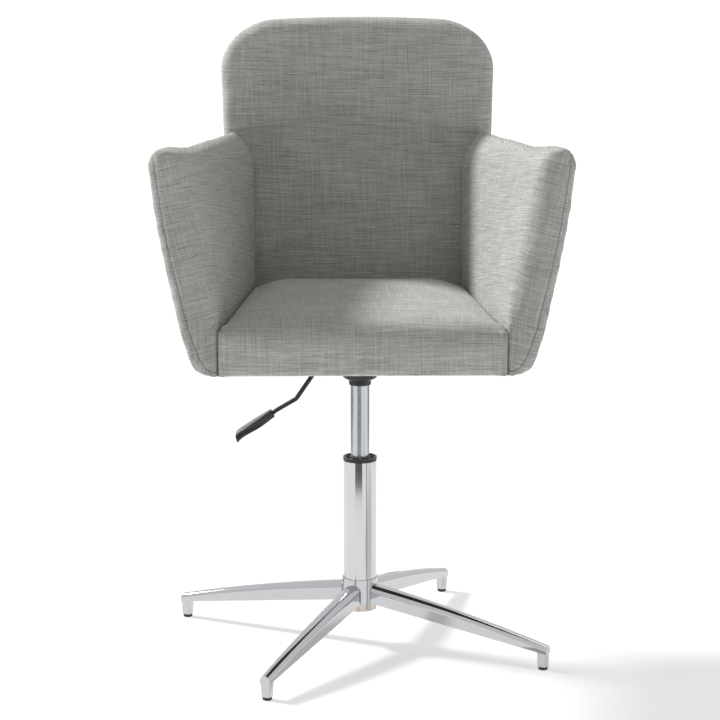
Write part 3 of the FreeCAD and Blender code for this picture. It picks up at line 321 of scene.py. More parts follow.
def moulded(name, colour, worn, grain, rough, relief, settings=None):
    """Moulded or coated surface: orange-peel relief, in cells per metre and metres, and two close tones."""
    material, tree = new_tree(name)
    speck = object_noise(tree, (grain,) * 3, 3.0, 0.6)
    cloud = object_noise(tree, (22.0,) * 3, 2.0)
    tone = ramp(tree, cloud, ((0.30, colour), (0.72, worn)))
    gloss = spread(tree, speck, rough[0], rough[1])
    bump = add(tree, "ShaderNodeBump", {"Strength": 0.5, "Distance": relief}, {"Height": speck}).outputs[0]
    base = {"IOR": 1.5}
    base.update(settings or {})
    finish_shader(tree, base, {"Base Color": tone, "Roughness": gloss, "Normal": bump})
    return material


def birch_ply():
    """Birch plywood: pale faces and thin alternating plies across its thickness."""
    material, tree = new_tree("birch_plywood")
    grain = object_noise(tree, (18.0, 160.0, 700.0), 4.0, 0.65)
    stops = ((0.30, "#A9855A"), (0.50, "#CBAA7B"), (0.72, "#E2C79C"))
    colour = ramp(tree, grain, [(place, linear(code)) for place, code in stops])
    bump = add(tree, "ShaderNodeBump", {"Strength": 0.3, "Distance": 0.0003}, {"Height": grain}).outputs[0]
    finish_shader(tree, {"Roughness": 0.62, "IOR": 1.5}, {"Base Color": colour, "Normal": bump})
    return material


def spunbond():
    """Spunbond dust cloth: thin black fleece with a fine pressed grid."""
    material, tree = new_tree("spunbond_dust_cloth")
    fibre = object_noise(tree, (900.0, 900.0, 900.0), 3.0, 0.7)
    colour = ramp(tree, fibre, ((0.3, linear("#141414")), (0.7, linear("#2C2C2B"))))
    bump = add(tree, "ShaderNodeBump", {"Strength": 0.6, "Distance": 0.0004}, {"Height": fibre}).outputs[0]
    finish_shader(tree, {"Roughness": 0.95, "Specular IOR Level": 0.2, "Sheen Weight": 0.2, "IOR": 1.5},
                  {"Base Color": colour, "Normal": bump})
    return material


def paint_nodes(material, *names):
    for name in names:
        for slot in NODES[name].material_slots:
            slot.material = material


# ------------------------------------------------------------------ soft goods

def smoothstep(value, low, high):
    """0 up to low, 1 from high on, and a soft rise between; all three are metres where a place is tested."""
    share = np.clip((value - low) / (high - low), 0.0, 1.0)
    return share * share * (3 - 2 * share)


def read_rows(items, key, width, kind=float):
    """One row of width numbers for each vertex, edge, face or face corner."""
    flat = np.empty(len(items) * width, kind)
    items.foreach_get(key, flat)
    return flat.reshape(-1, width)


def read_points(mesh):
    return read_rows(mesh.vertices, "co", 3)


def read_normals(mesh):
    return read_rows(mesh.vertices, "normal", 3)


def read_edges(mesh):
    return read_rows(mesh.edges, "vertices", 2, int)


def write_points(mesh, points):
    mesh.vertices.foreach_set("co", np.ascontiguousarray(points, float).ravel())
    mesh.update()


def surface_of(mesh):
    return BVHTree.FromPolygons([v.co for v in mesh.vertices], [p.vertices for p in mesh.polygons])


def smooth(mesh):
    for polygon in mesh.polygons:
        polygon.use_smooth = True


def new_object(name, data):
    obj = bpy.data.objects.new(name, data)
    bpy.context.scene.collection.objects.link(obj)
    return obj


def alone(obj):
    """Makes obj the only selected and active object."""
    for other in bpy.context.view_layer.objects:
        other.select_set(False)
    obj.select_set(True)
    bpy.context.view_layer.objects.active = obj


def apply_modifier(obj, modifier):
    alone(obj)
    bpy.ops.object.modifier_apply(modifier=modifier.name)


def padding_from(node, name, voxel):
    """Even quad mesh with a CAD cushion's shape."""
    obj = new_object(name, NODES[node].data.copy())
    obj.data.materials.clear()
    weld = obj.modifiers.new("weld", "WELD")
    weld.merge_threshold = 0.00002
    apply_modifier(obj, weld)
    remesh = obj.modifiers.new("remesh", "REMESH")
    remesh.mode = "VOXEL"
    remesh.voxel_size = voxel
    apply_modifier(obj, remesh)
    smooth(obj.data)
    return obj


def relax(points, edges, weight, steps):
    """Moves each point towards the middle of its neighbours, by weight."""
    first, second = edges[:, 0], edges[:, 1]
    count = np.maximum(np.bincount(edges.ravel(), minlength=len(points)), 1)
    pull = (0.5 * weight)[:, None]
    for _ in range(steps):
        middle = np.empty_like(points)
        for axis in range(3):
            total = np.bincount(first, points[second, axis], len(points))
            total += np.bincount(second, points[first, axis], len(points))
            middle[:, axis] = total / count
        points = points + (middle - points) * pull
    return points


def even_out(points, edges, weight, rounds):
    """Takes small steps out of a surface without shrinking it: each pull is followed by a larger push."""
    for _ in range(rounds):
        points = relax(points, edges, weight, steps=1)
        points = relax(points, edges, -1.05 * weight, steps=1)
    return points


def touches(points, node, reach):
    """1 where a point lies within reach of a CAD node's surface."""
    tree = surface_of(NODES[node].data)
    return np.array([tree.find_nearest(Vector(p), reach)[0] is not None for p in points])


SWELL_STEPS = 20
HELD_LEVELS = 10


def swell(obj, free, crown):
    """Inflates the padding as cloth over foam; free is 0 where it is held, and crown caps the travel."""
    mesh = obj.data
    start = read_points(mesh)
    held = obj.vertex_groups.new(name="held")
    for level in range(1, HELD_LEVELS + 1):
        chosen = np.nonzero(np.round((1 - free) * HELD_LEVELS) == level)[0]
        if len(chosen):
            held.add(chosen.tolist(), level / HELD_LEVELS, "REPLACE")
    cloth = obj.modifiers.new("swell", "CLOTH")
    settings = cloth.settings
    settings.quality = 4
    settings.mass = 0.3
    settings.tension_stiffness = 15
    settings.compression_stiffness = 15
    settings.shear_stiffness = 5
    settings.bending_stiffness = 0.8
    settings.vertex_group_mass = held.name
    settings.pin_stiffness = 1.0
    settings.use_pressure = True
    settings.uniform_pressure_force = 4.0
    settings.effector_weights.gravity = 0.0
    cloth.point_cache.frame_start = 1
    cloth.point_cache.frame_end = SWELL_STEPS
    scene = bpy.context.scene
    for step in range(1, SWELL_STEPS + 1):
        scene.frame_set(step)
    evaluated = obj.evaluated_get(bpy.context.evaluated_depsgraph_get())
    result = evaluated.to_mesh()
    moved = read_points(result) - start
    evaluated.to_mesh_clear()
    obj.modifiers.remove(cloth)
    obj.vertex_groups.clear()
    scene.frame_set(1)
    travel = np.linalg.norm(moved, axis=1)
    limit = crown * free
    capped = limit * np.tanh(travel / np.maximum(limit, 1e-6))
    scale = np.where(travel > 1e-9, capped / np.maximum(travel, 1e-9), 0.0)
    print(f"{obj.name}: cloth travel mean {travel.mean() * 1000:.2f} mm, most {travel.max() * 1000:.2f} mm")
    write_points(mesh, start + moved * scale[:, None])


def refine(obj):
    subdivide = obj.modifiers.new("refine", "SUBSURF")
    subdivide.levels = 1
    subdivide.render_levels = 1
    apply_modifier(obj, subdivide)


def seam_distance(points, normals, path):
    """Signed distance to a sewn line; positive on the left of the path, seen from outside."""
    best = np.full(len(points), 1.0)
    signed = np.full(len(points), 1.0)
    for start, end in zip(path[:-1], path[1:]):
        start, end = np.array(start), np.array(end)
        run = end - start
        share = np.clip((points - start) @ run / (run @ run), 0.0, 1.0)
        offset = points - (start + share[:, None] * run)
        distance = np.linalg.norm(offset, axis=1)
        side = np.einsum("ij,ij->i", offset, np.cross(normals, run))
        nearer = distance < best
        best = np.where(nearer, distance, best)
        signed = np.where(nearer, np.where(side >= 0, distance, -distance), signed)
    return signed


def laid_on(mesh, path):
    """The path's points, filled in to the seam pitch and laid on the mesh's surface."""
    tree = surface_of(mesh)
    laid = []
    for start, end in zip(path[:-1], path[1:]):
        start, end = Vector(start), Vector(end)
        count = max(1, round((end - start).length / SEAM_PITCH))
        laid += [tree.find_nearest(start.lerp(end, step / count))[0] for step in range(count)]
    laid.append(tree.find_nearest(Vector(path[-1]))[0])
    return [tuple(place) for place in laid]


def sew(obj, path, depth):
    """Draws the padding in along a sewn line and stores the distance to it; with no line it is far away."""
    mesh = obj.data
    points, normals = read_points(mesh), read_normals(mesh)
    nearest = np.full(len(points), 1.0)
    if path:
        nearest = seam_distance(points, normals, laid_on(mesh, path))
    pull = depth * np.exp(-((nearest / SEAM_HALF_WIDTH) ** 2))
    write_points(mesh, points - normals * pull[:, None])
    attribute = mesh.attributes.new(SEAM_NAME, "FLOAT", "POINT")
    attribute.data.foreach_set("value", nearest.astype(np.float32))


def weave_map(obj, along):
    """UV map in metres; along gives (u, v) of each face corner from its point and its face's normal."""
    mesh = obj.data
    corners = read_rows(mesh.loops, "vertex_index", 1, int)[:, 0]
    counts = read_rows(mesh.polygons, "loop_total", 1, int)[:, 0]
    normals = np.repeat(read_rows(mesh.polygons, "normal", 3), counts, axis=0)
    u, v = along(read_points(mesh)[corners], normals)
    layer = mesh.uv_layers.new(name=UV_NAME)
    layer.data.foreach_set("uv", np.stack([u, v], 1).astype(np.float32).ravel())


def mirrored_copy(obj, name):
    """The same padding for the other side, with its own mesh."""
    mesh = obj.data.copy()
    points = read_points(mesh)
    points[:, 0] *= -1
    write_points(mesh, points)
    mesh.flip_normals()
    return new_object(name, mesh)


def finish_padding(obj, node, material):
    obj.data.materials.clear()
    obj.data.materials.append(material)
    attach(obj, "seat")
    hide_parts(node)


def cloth_material():
    found = bpy.data.materials.get("slub_weave_cloth")
    scene = bpy.context.scene
    return found or slub_weave(scene.armchair_colours, scene.armchair_sizes)


def front_profile(points, chosen):
    """Foremost Y of the chosen points at each of a few heights."""
    levels = np.arange(SHELL_BOTTOM, SEAT_TOP, 0.005)
    depth = []
    for level in levels:
        row = chosen & (np.abs(points[:, 2] - level) < 0.004)
        depth.append(points[row, 1].min())
    return levels, np.array(depth)


def square_up(points, chosen, inward, forward, side_x, front_y):
    """Brings points beside an upright front edge onto the side or the front face, whichever is nearer."""
    reach = 0.0075
    near = chosen & (inward < reach) & (forward < reach)
    to_side = near & (inward < forward)
    to_front = near & ~to_side
    points[to_side, 0] = side_x[to_side]
    points[to_front, 1] = front_y[to_front]


class ARMCHAIR_OT_seat(bpy.types.Operator):
    """Makes the crowned seat cushion with its rolled front edge"""
    bl_idname = "armchair.seat_padding"
    bl_label = "Seat cushion"

    def execute(self, context):
        sizes = context.scene.armchair_sizes
        obj = padding_from("seat_cushion", "seat_padding", voxel=0.005)
        mesh = obj.data
        points, edges = read_points(mesh), read_edges(mesh)
        levels, depths = front_profile(points, np.abs(points[:, 0]) < 0.15)
        side = seat_half(points[:, 1]) - np.abs(points[:, 0])
        rear = back_face_y(points[:, 2]) - points[:, 1]
        front = points[:, 1] - SEAT_LOW.y
        above = smoothstep(points[:, 2], BOARD_TOP + 0.004, BOARD_TOP + 0.012)
        outside = np.where(front < 0.004, 1.0, above)
        # the seat's sides and rear are drawn down where they go in under the arms and the back
        near_side = 1 - smoothstep(side, 0.0, 0.050)
        near_rear = 1 - smoothstep(rear, 0.0, 0.045)
        rear_corner = (1 - smoothstep(side, 0.0, 0.055)) * (1 - smoothstep(rear, 0.0, 0.065))
        behind_lip = smoothstep(front, 0.010, 0.060)
        top = smoothstep(points[:, 2], SEAT_TOP - 0.040, SEAT_TOP)
        drop = SEAT_SIDE_DROP * near_side * (0.35 + 0.65 * behind_lip)
        drop = np.maximum(drop, SEAT_REAR_DROP * near_rear) + SEAT_CORNER_DROP * rear_corner
        points[:, 2] -= drop * top
        edge_zone = np.maximum(near_side, near_rear) * above
        front_corner = (1 - smoothstep(front, 0.0, 0.02)) * (1 - smoothstep(side, 0.0, 0.02))
        weight = np.clip(0.35 + edge_zone * 0.65 - 0.95 * front_corner, 0.02, 1.0) * outside
        points = relax(points, edges, weight, steps=12)
        write_points(mesh, points)
        free = smoothstep(side, 0.004, 0.055) * smoothstep(rear, 0.004, 0.055) * outside
        above_board = points[:, 2] > BOARD_TOP + 0.010
        free *= np.where(above_board, 1.0, np.where(front < 0.006, 0.4, 0.0))
        swell(obj, np.clip(free, 0, 1), sizes.seat_crown)
        points = even_out(read_points(mesh), edges, outside * (1 - front_corner), rounds=6)
        write_points(mesh, points)
        refine(obj)
        points = read_points(mesh)
        limit = seat_half(points[:, 1]) - SIDE_GAP
        inward = limit - np.abs(points[:, 0])
        face_y = np.interp(points[:, 2], levels, depths)
        square_up(points, points[:, 2] < SEAT_TOP - 0.012, inward, points[:, 1] - face_y,
                  np.sign(points[:, 0]) * limit, face_y)
        limit = seat_half(points[:, 1]) - SIDE_GAP
        points[:, 0] = np.clip(points[:, 0], -limit, limit)
        points[:, 1] = np.minimum(points[:, 1], back_face_y(points[:, 2]) - SEAT_BACK_GAP)
        write_points(mesh, points)
        # the cover's edges are plain, with no stitched line to see
        sew(obj, None, depth=0.0)

        def along(p, n):
            return p[:, 0], p[:, 1] - (SEAT_TOP - p[:, 2])

        weave_map(obj, along)
        finish_padding(obj, "seat_cushion", cloth_material())
        return {"FINISHED"}


class ARMCHAIR_OT_back(bpy.types.Operator):
    """Makes the padded back with its rounded shoulders and the seam round its rear edge"""
    bl_idname = "armchair.back_padding"
    bl_label = "Back cushion"

    def execute(self, context):
        sizes = context.scene.armchair_sizes
        obj = padding_from("back_cushion", "back_padding", voxel=0.006)
        mesh = obj.data
        points, edges = read_points(mesh), read_edges(mesh)
        skin = np.where(touches(points, "back_frame", reach=0.0030), 0.0, 1.0)
        depth = points[:, 1] - back_face_y(points[:, 2])
        behind_arm = (points[:, 2] < ARM_HIGH.z - 0.005) & (np.abs(points[:, 0]) > 0.150) & (depth < 0.012)
        weight = 0.7 * skin * np.where(behind_arm, 0.1, 1.0)
        points = relax(points, edges, weight, steps=8)
        write_points(mesh, points)
        low = smoothstep(points[:, 2], SHELL_BOTTOM + 0.01, SHELL_BOTTOM + 0.06)
        rim = smoothstep(BACK_HIGH.x - np.abs(points[:, 0]), 0.004, 0.05)
        rim *= smoothstep(BACK_HIGH.z - points[:, 2], 0.004, 0.05)
        free = skin * low * rim * np.where(behind_arm, 0.0, 1.0)
        swell(obj, free, sizes.back_crown)
        points = even_out(read_points(mesh), edges, skin, rounds=8)
        write_points(mesh, points)
        refine(obj)
        write_points(mesh, round_shoulders(read_points(mesh)))
        sew(obj, back_seam(), sizes.seam_depth)
        points = read_points(mesh)
        hidden = (points[:, 2] < ARM_HIGH.z - 0.016) & (np.abs(points[:, 0]) > 0.160)
        front = back_face_y(points[:, 2])
        near = hidden & (points[:, 1] < front + 0.010)
        points[near, 1] = np.maximum(points[near, 1], front[near] + ARM_BACK_GAP)
        write_points(mesh, points)

        def along(p, n):
            depth = p[:, 1] - back_face_y(p[:, 2])
            u = np.where(np.abs(n[:, 0]) > 0.75, np.sign(p[:, 0]) * (BACK_HIGH.x + depth), p[:, 0])
            v = np.where(n[:, 2] > 0.75, BACK_HIGH.z + depth, p[:, 2] * 1.015)
            return u, v

        weave_map(obj, along)
        finish_padding(obj, "back_cushion", cloth_material())
        return {"FINISHED"}


def fullness(z):
    """How much wider than its shell the back's padding is at a height."""
    return 1 + BACK_FULLNESS * smoothstep(z, 0.640, 0.760)


def round_shoulders(points):
    """Gives the padding softer top corners than its frame has, and bows its top edge slightly."""
    points = points.copy()
    corner, reach = SHELL_CORNER_R, SHOULDER_R
    core = reach - corner
    x, z = np.abs(points[:, 0]), points[:, 2]
    across, up = x - (BACK_HIGH.x - reach), z - (BACK_HIGH.z - reach)
    angle = np.arctan2(np.maximum(up, 1e-6), np.maximum(across, 1e-6))
    ahead = core * (np.cos(angle) + np.sin(angle))
    rim = ahead + np.sqrt(ahead ** 2 - 2 * core ** 2 + corner ** 2)
    flat = math.atan2(core, reach)
    rim = np.where(angle < flat, reach / np.cos(angle), rim)
    rim = np.where(angle > math.pi / 2 - flat, reach / np.sin(angle), rim)
    far = np.hypot(across, up)
    share = (reach / rim - 1) * smoothstep(far / rim, 0.2, 1.0)
    share = np.where((across > 0) & (up > 0), share, 0.0)
    points[:, 0] += np.sign(points[:, 0]) * across * share
    points[:, 2] += up * share
    points[:, 0] *= fullness(z)
    bow = TOP_BOW * np.minimum((x / BOW_HALF) ** 2, 1.6)
    points[:, 2] -= bow * smoothstep(z, BACK_HIGH.z - 0.120, BACK_HIGH.z)
    return points


def back_seam():
    """Line along the rear edge of the rim, where the rear panel is sewn on."""
    corner = SHOULDER_R - SEAM_INSET
    top_half = BACK_HIGH.x - SEAM_INSET
    shoulder = BACK_HIGH.z - SEAM_INSET - corner
    path = [(0.180 - SEAM_INSET, SHELL_BOTTOM), (0.202 - SEAM_INSET, 0.757), (top_half, shoulder)]
    for step in range(1, 9):
        turn = math.radians(90 * step / 8)
        path.append((top_half - corner + corner * math.cos(turn), shoulder + corner * math.sin(turn)))
    path = [(x * float(fullness(z)), z) for x, z in path]
    path += [(-x, z) for x, z in reversed(path)]
    return [(x, back_face_y(z) + BACK_DEPTH - SEAM_INSET, z) for x, z in path]


def arm_seam():
    """Line where the outer panel meets the front face and the top strip, on the right arm."""
    face = ((0.204, 0.4715), (0.214, 0.4722), (0.222, 0.4765), (0.2315, 0.491), (0.246, 0.529))
    face += ((0.259, 0.575), (0.2735, 0.630), (0.2835, 0.680), (0.2905, 0.722), (0.2930, 0.750))
    path = [(x - 0.002, arm_front_y(z), z) for x, z in face]
    path += [(0.2920, -0.190, 0.7680), (0.2850, -0.165, 0.7735), (0.2720, -0.090, 0.7670)]
    path += [(0.2560, -0.020, 0.7625), (0.2270, 0.100, 0.7590), (0.1985, 0.186, 0.7555)]
    return path


class ARMCHAIR_OT_arms(bpy.types.Operator):
    """Makes both padded arms, with a soft inner crease and a sewn outer panel"""
    bl_idname = "armchair.arm_padding"
    bl_label = "Arm cushions"

    def execute(self, context):
        sizes = context.scene.armchair_sizes
        obj = padding_from("arm_cushion_right", "arm_padding_right", voxel=0.005)
        mesh = obj.data
        points, edges = read_points(mesh), read_edges(mesh)
        skin = np.where(touches(points, "arm_frame_right", reach=0.0025), 0.0, 1.0)
        z = points[:, 2]
        forward = points[:, 1] - arm_front_y(z)
        face_inner, face_outer = np.interp(z, FACE_Z, FACE_INNER_X), np.interp(z, FACE_Z, FACE_OUTER_X)
        middle = (face_inner + face_outer) / 2
        inner = 1 - smoothstep(points[:, 0], middle - 0.004, middle + 0.012)
        front = 1 - smoothstep(forward, 0.040, 0.075)
        above_seat = smoothstep(z, SEAT_TOP - 0.004, SEAT_TOP + 0.075)
        top = smoothstep(z, ARM_HIGH.z - 0.055, ARM_HIGH.z - 0.025)
        at_back = smoothstep(back_face_y(z) - points[:, 1], 0.002, 0.030)
        beside_seat = (z < SEAT_TOP) & (points[:, 0] < middle)
        # the front face is crowned: its two edges are set back
        crown = np.clip((points[:, 0] - middle) / ((face_outer - face_inner) / 2), -1, 1) ** 2
        crown *= 1 - smoothstep(forward, 0.010, 0.050)
        points[:, 1] += FACE_CROWN * crown * smoothstep(z, SEAT_TOP - 0.050, SEAT_TOP + 0.050)
        weight = front * np.maximum(inner * above_seat * (1 - 0.85 * top), 0.05)
        weight = np.maximum(weight, 0.10 * top) * skin * at_back
        weight *= np.where(beside_seat, 0.1, 1.0)
        points = relax(points, edges, weight, steps=22)
        weight = np.where(beside_seat & (forward < 0.02), 0.0, 0.5) * skin * at_back
        points = relax(points, edges, weight, steps=3)
        write_points(mesh, points)
        seam = np.abs(seam_distance(points, read_normals(mesh), arm_seam()))
        seat_side = (z < SEAT_TOP + 0.004) & (points[:, 0] < seat_half(points[:, 1]) + 0.012)
        free = skin * ~seat_side * smoothstep(back_face_y(z) - points[:, 1], 0.004, 0.060)
        free *= smoothstep(z, SHELL_BOTTOM + 0.002, SHELL_BOTTOM + 0.035) * smoothstep(seam, 0.010, 0.050)
        free *= 1 - 0.7 * top
        swell(obj, free, sizes.arm_crown)
        points = even_out(read_points(mesh), edges, ~beside_seat * skin * at_back, rounds=12)
        # the front face rolls over softly into the outer panel
        forward = points[:, 1] - arm_front_y(points[:, 2])
        edge = np.hypot(np.interp(points[:, 2], FACE_Z, FACE_OUTER_X) - points[:, 0], forward)
        rolled = (1 - smoothstep(edge, 0.006, 0.030)) * (1 - 0.7 * top)
        points = relax(points, edges, rolled * skin, steps=16)
        outer = smoothstep(points[:, 0] - middle, 0.004, 0.016) * skin
        outer *= smoothstep(z, 0.475, 0.520) * (1 - smoothstep(z, 0.690, 0.745))
        points[:, 0] += OUTER_FULLNESS * outer
        write_points(mesh, points)
        refine(obj)
        points = read_points(mesh)
        lift = smoothstep(points[:, 0], 0.225, 0.285) * smoothstep(points[:, 2], 0.690, 0.755)
        lift *= 1 - smoothstep(points[:, 1] - arm_front_y(points[:, 2]), 0.050, 0.150)
        points[:, 2] += ARM_CORNER_LIFT * lift
        write_points(mesh, points)
        sew(obj, arm_seam(), sizes.seam_depth)
        points = read_points(mesh)
        limit = seat_half(points[:, 1]) + SIDE_GAP
        face_y = arm_front_y(points[:, 2])
        square_up(points, points[:, 2] < SEAT_TOP - 0.004, points[:, 0] - limit, points[:, 1] - face_y,
                  limit, face_y)
        beside = (points[:, 2] < SEAT_TOP) & (points[:, 0] < seat_half(points[:, 1]) + 0.004)
        limit = seat_half(points[:, 1]) + SIDE_GAP
        points[beside, 0] = np.maximum(points[beside, 0], limit[beside])
        points[:, 1] = np.minimum(points[:, 1], back_face_y(points[:, 2]) - ARM_BACK_GAP)
        write_points(mesh, points)
        # the arm is sewn to the back along its rear edge, on the side that faces the sitter; this join is
        # stored as a seam, so the cloth gets the painted seam shade there, a dark line for the shade in the
        # slit between arm and back
        stored = mesh.attributes[SEAM_NAME].data
        seams = read_rows(stored, "value", 1, np.float32)[:, 0]
        to_back = back_face_y(points[:, 2]) - points[:, 1] - ARM_BACK_GAP
        inward = read_normals(mesh)[:, 0] < -0.3
        seams = np.where(inward & (to_back < np.abs(seams)), to_back, seams)
        stored.foreach_set("value", seams.astype(np.float32))
        other = mirrored_copy(obj, "arm_padding_left")
        pair = ((obj, "arm_cushion_right", 0.0), (other, "arm_cushion_left", 0.37))
        for piece, node, shift in pair:
            weave_map(piece, lambda p, n, shift=shift: arm_weave(p, n, shift))
            finish_padding(piece, node, cloth_material())
        return {"FINISHED"}


def arm_weave(p, n, shift):
    """The inner panel runs on round the crease and over the front face; the outer panel is another piece."""
    x = np.abs(p[:, 0])
    out = n[:, 0] * np.sign(p[:, 0])
    forward = p[:, 1] - arm_front_y(p[:, 2])
    crease = np.interp(p[:, 2], FACE_Z, FACE_INNER_X)
    u = np.maximum(forward, 0) * 1.04 - np.maximum(x - crease, 0)
    v = p[:, 2] * 0.97 + x * 0.26 + 0.20 * np.maximum(forward - 0.010, 0)
    top = (n[:, 2] > 0.72) & (forward > 0.02)
    v = np.where(top, ARM_HIGH.z + x, v)
    outer = (out > 0.45) & ~top
    u = np.where(outer, 0.9 + p[:, 1], u)
    v = np.where(outer, p[:, 2] * 1.02 - p[:, 1] * 0.10, v)
    return u + shift, v + shift * 0.7


class ARMCHAIR_OT_dust_cloth(bpy.types.Operator):
    """Makes the thin black cloth stapled under the seat"""
    bl_idname = "armchair.dust_cloth"
    bl_label = "Dust cloth"

    def execute(self, context):
        low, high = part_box("dust_cover")
        depth = high.y - low.y
        centre = ((low.x + high.x) / 2, (low.y + high.y) / 2, low.z + 0.0005)
        bpy.ops.object.select_all(action="DESELECT")
        bpy.ops.mesh.primitive_grid_add(x_subdivisions=80, y_subdivisions=80, size=1.0, location=centre)
        obj = context.active_object
        obj.name = "dust_cloth"
        obj.scale = (1.0, depth, 1.0)
        bpy.ops.object.transform_apply(location=True, rotation=True, scale=True)
        mesh = obj.data
        points = read_points(mesh)
        reach = seat_half(points[:, 1]) + TURN_IN - 0.0002
        points[:, 0] *= 2 * reach
        # drawn tight between the staples, with small scallops and a little slack in the middle
        edge = np.minimum(points[:, 1] - low.y, high.y - points[:, 1])
        edge = np.minimum(reach - np.abs(points[:, 0]), edge)
        waves = 0.00018 * np.sin(points[:, 0] * SCALLOPS) * np.sin(points[:, 1] * SCALLOPS)
        points[:, 2] += waves * (1 - smoothstep(edge, 0.0, 0.05)) - 0.00025 * smoothstep(edge, 0.0, 0.12)
        write_points(mesh, points)
        smooth(mesh)
        thick = obj.modifiers.new("thickness", "SOLIDIFY")
        thick.thickness = 0.0003
        thick.offset = 0.0
        apply_modifier(obj, thick)
        obj.data.materials.append(spunbond())
        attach(obj, "seat")
        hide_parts("dust_cover")
        return {"FINISHED"}


# ------------------------------------------------------------------ metal and plastic finishes

class ARMCHAIR_OT_base(bpy.types.Operator):
    """Finishes the die-cast base, its glides and its screws"""
    bl_idname = "armchair.base_finish"
    bl_label = "Base"

    def execute(self, context):
        black = tuple(context.scene.armchair_colours.black)
        buffed = linear(BUFFED)
        # die-cast aluminium, ground and buffed by hand: bright, with slow waves in what it mirrors
        cast = metal("polished_cast_aluminium", buffed, (60.0,) * 3, (0.04, 0.09), (26.0,) * 3, 0.00012)
        paint_nodes(cast, "leg_right", "leg_rear", "leg_left", "leg_front")
        hub = metal("ground_cast_aluminium", buffed, (60.0,) * 3, (0.06, 0.12), (26.0,) * 3, 0.00012,
                    hub_tone)
        paint_nodes(hub, "base_hub")
        # bright zinc plating on pressed and turned steel: dull, slightly cloudy
        zinc = metal("zinc_plated_steel", linear("#B9BBC0"), (400.0,) * 3, (0.25, 0.42), (900.0,) * 3,
                     0.00004)
        paint_nodes(zinc, "leg_screws", "column_bottom_plate", "rod_clip", "lever_pivot_pin", "mount_screws",
                    "tee_nuts", "frame_screws", "staples")
        # polyethylene glides: dull black, scuffed grey in patches
        glide = moulded("polyethylene_glide", black, linear("#343433"), 700.0, (0.42, 0.6), 0.00008)
        paint_nodes(glide, "glide_right", "glide_rear", "glide_left", "glide_front")
        return {"FINISHED"}


class ARMCHAIR_OT_column(bpy.types.Operator):
    """Finishes the column, the gas spring and the bearing inside it"""
    bl_idname = "armchair.column_finish"
    bl_label = "Column and gas spring"

    def execute(self, context):
        colour = tuple(context.scene.armchair_colours.polished)
        black = tuple(context.scene.armchair_colours.black)
        # chrome-plated steel tube: mirror bright, with faint lines along the drawn tube
        chrome = metal("chrome_plated_tube", colour, (240.0, 240.0, 3.0), (0.06, 0.13),
                       (160.0, 160.0, 2.0), 0.00006)
        paint_nodes(chrome, "column_tube")
        # ground and hard-plated pressure tube: satin, fine rings round it from centreless grinding
        ground = metal("ground_steel_tube", linear("#C0C3C9"), (30.0, 30.0, 900.0), (0.20, 0.28),
                       (90.0, 90.0, 2.0), 0.00003)
        paint_nodes(ground, "pressure_tube")
        bright = metal("bearing_steel", linear("#C8CACD"), (300.0,) * 3, (0.12, 0.22), (60.0,) * 3, 0.0)
        paint_nodes(bright, "thrust_washer_lower", "thrust_washer_upper", "thrust_balls", "piston_rod",
                    "inner_cylinder", "release_pin")
        turned = metal("turned_aluminium", linear("#C9CBCE"), (80.0, 80.0, 1800.0), (0.25, 0.4),
                       (60.0,) * 3, 0.0)
        paint_nodes(turned, "piston", "valve_body")
        # acetal and glass-filled nylon mouldings
        nylon = moulded("natural_nylon", linear("#D8D4C8"), linear("#E6E3D9"), 500.0, (0.4, 0.55), 0.00005)
        paint_nodes(nylon, "thrust_cage", "end_guide")
        bushing = moulded("black_nylon_bushing", black, linear("#2E2E2C"), 600.0, (0.30, 0.46), 0.00006)
        paint_nodes(bushing, "guide_bushing")
        rubber = moulded("nitrile_rubber", linear("#191919"), linear("#2B2B2A"), 500.0, (0.65, 0.85), 0.00010)
        paint_nodes(rubber, "bump_stop", "piston_seal", "rod_seal")
        return {"FINISHED"}


class ARMCHAIR_OT_mechanism(bpy.types.Operator):
    """Finishes the mechanism under the seat and its lever"""
    bl_idname = "armchair.mechanism_finish"
    bl_label = "Mechanism and lever"

    def execute(self, context):
        black = tuple(context.scene.armchair_colours.black)
        cover = moulded("black_polypropylene_cover", black, linear("#333331"), 500.0, (0.36, 0.52), 0.00007)
        paint_nodes(cover, "funnel_cover")
        # powder-coated steel: fine orange peel, slightly grey in patches
        coated = moulded("powder_coated_steel", linear("#1B1B1A"), linear("#2C2B28"), 800.0, (0.34, 0.5),
                         0.00010)
        paint_nodes(coated, "taper_socket", "mechanism_housing", "mount_plate", "lever_rod")
        # ABS paddle: smooth moulded skin that takes a bright streak along its top
        paddle = moulded("glossy_abs_paddle", linear("#1A1A1A"), linear("#242423"), 120.0, (0.22, 0.32),
                         0.00001, {"Coat Weight": 0.3, "Coat Roughness": 0.12})
        paint_nodes(paddle, "lever_handle")
        return {"FINISHED"}


def choose(obj, test):
    """Selects in edit mode only the vertices whose place passes the test."""
    bpy.ops.mesh.select_mode(type="VERT")
    bpy.ops.mesh.select_all(action="DESELECT")
    shape = bmesh.from_edit_mesh(obj.data)
    for vertex in shape.verts:
        vertex.select = test(vertex.co)
    shape.select_flush(True)
    bmesh.update_edit_mesh(obj.data)


# side view of the paddle, from the rod outwards: distance, upper and lower face, half its width
PADDLE = (
    (0.0000, 0.0054, -0.0056, 0.0080),
    (0.0136, 0.0054, -0.0065, 0.0105),
    (0.0272, 0.0053, -0.0069, 0.0130),
    (0.0398, 0.0052, -0.0061, 0.0138),
    (0.0513, 0.0050, -0.0052, 0.0140),
    (0.0602, 0.0048, -0.0058, 0.0140),
    (0.0684, 0.0024, -0.0077, 0.0138),
)


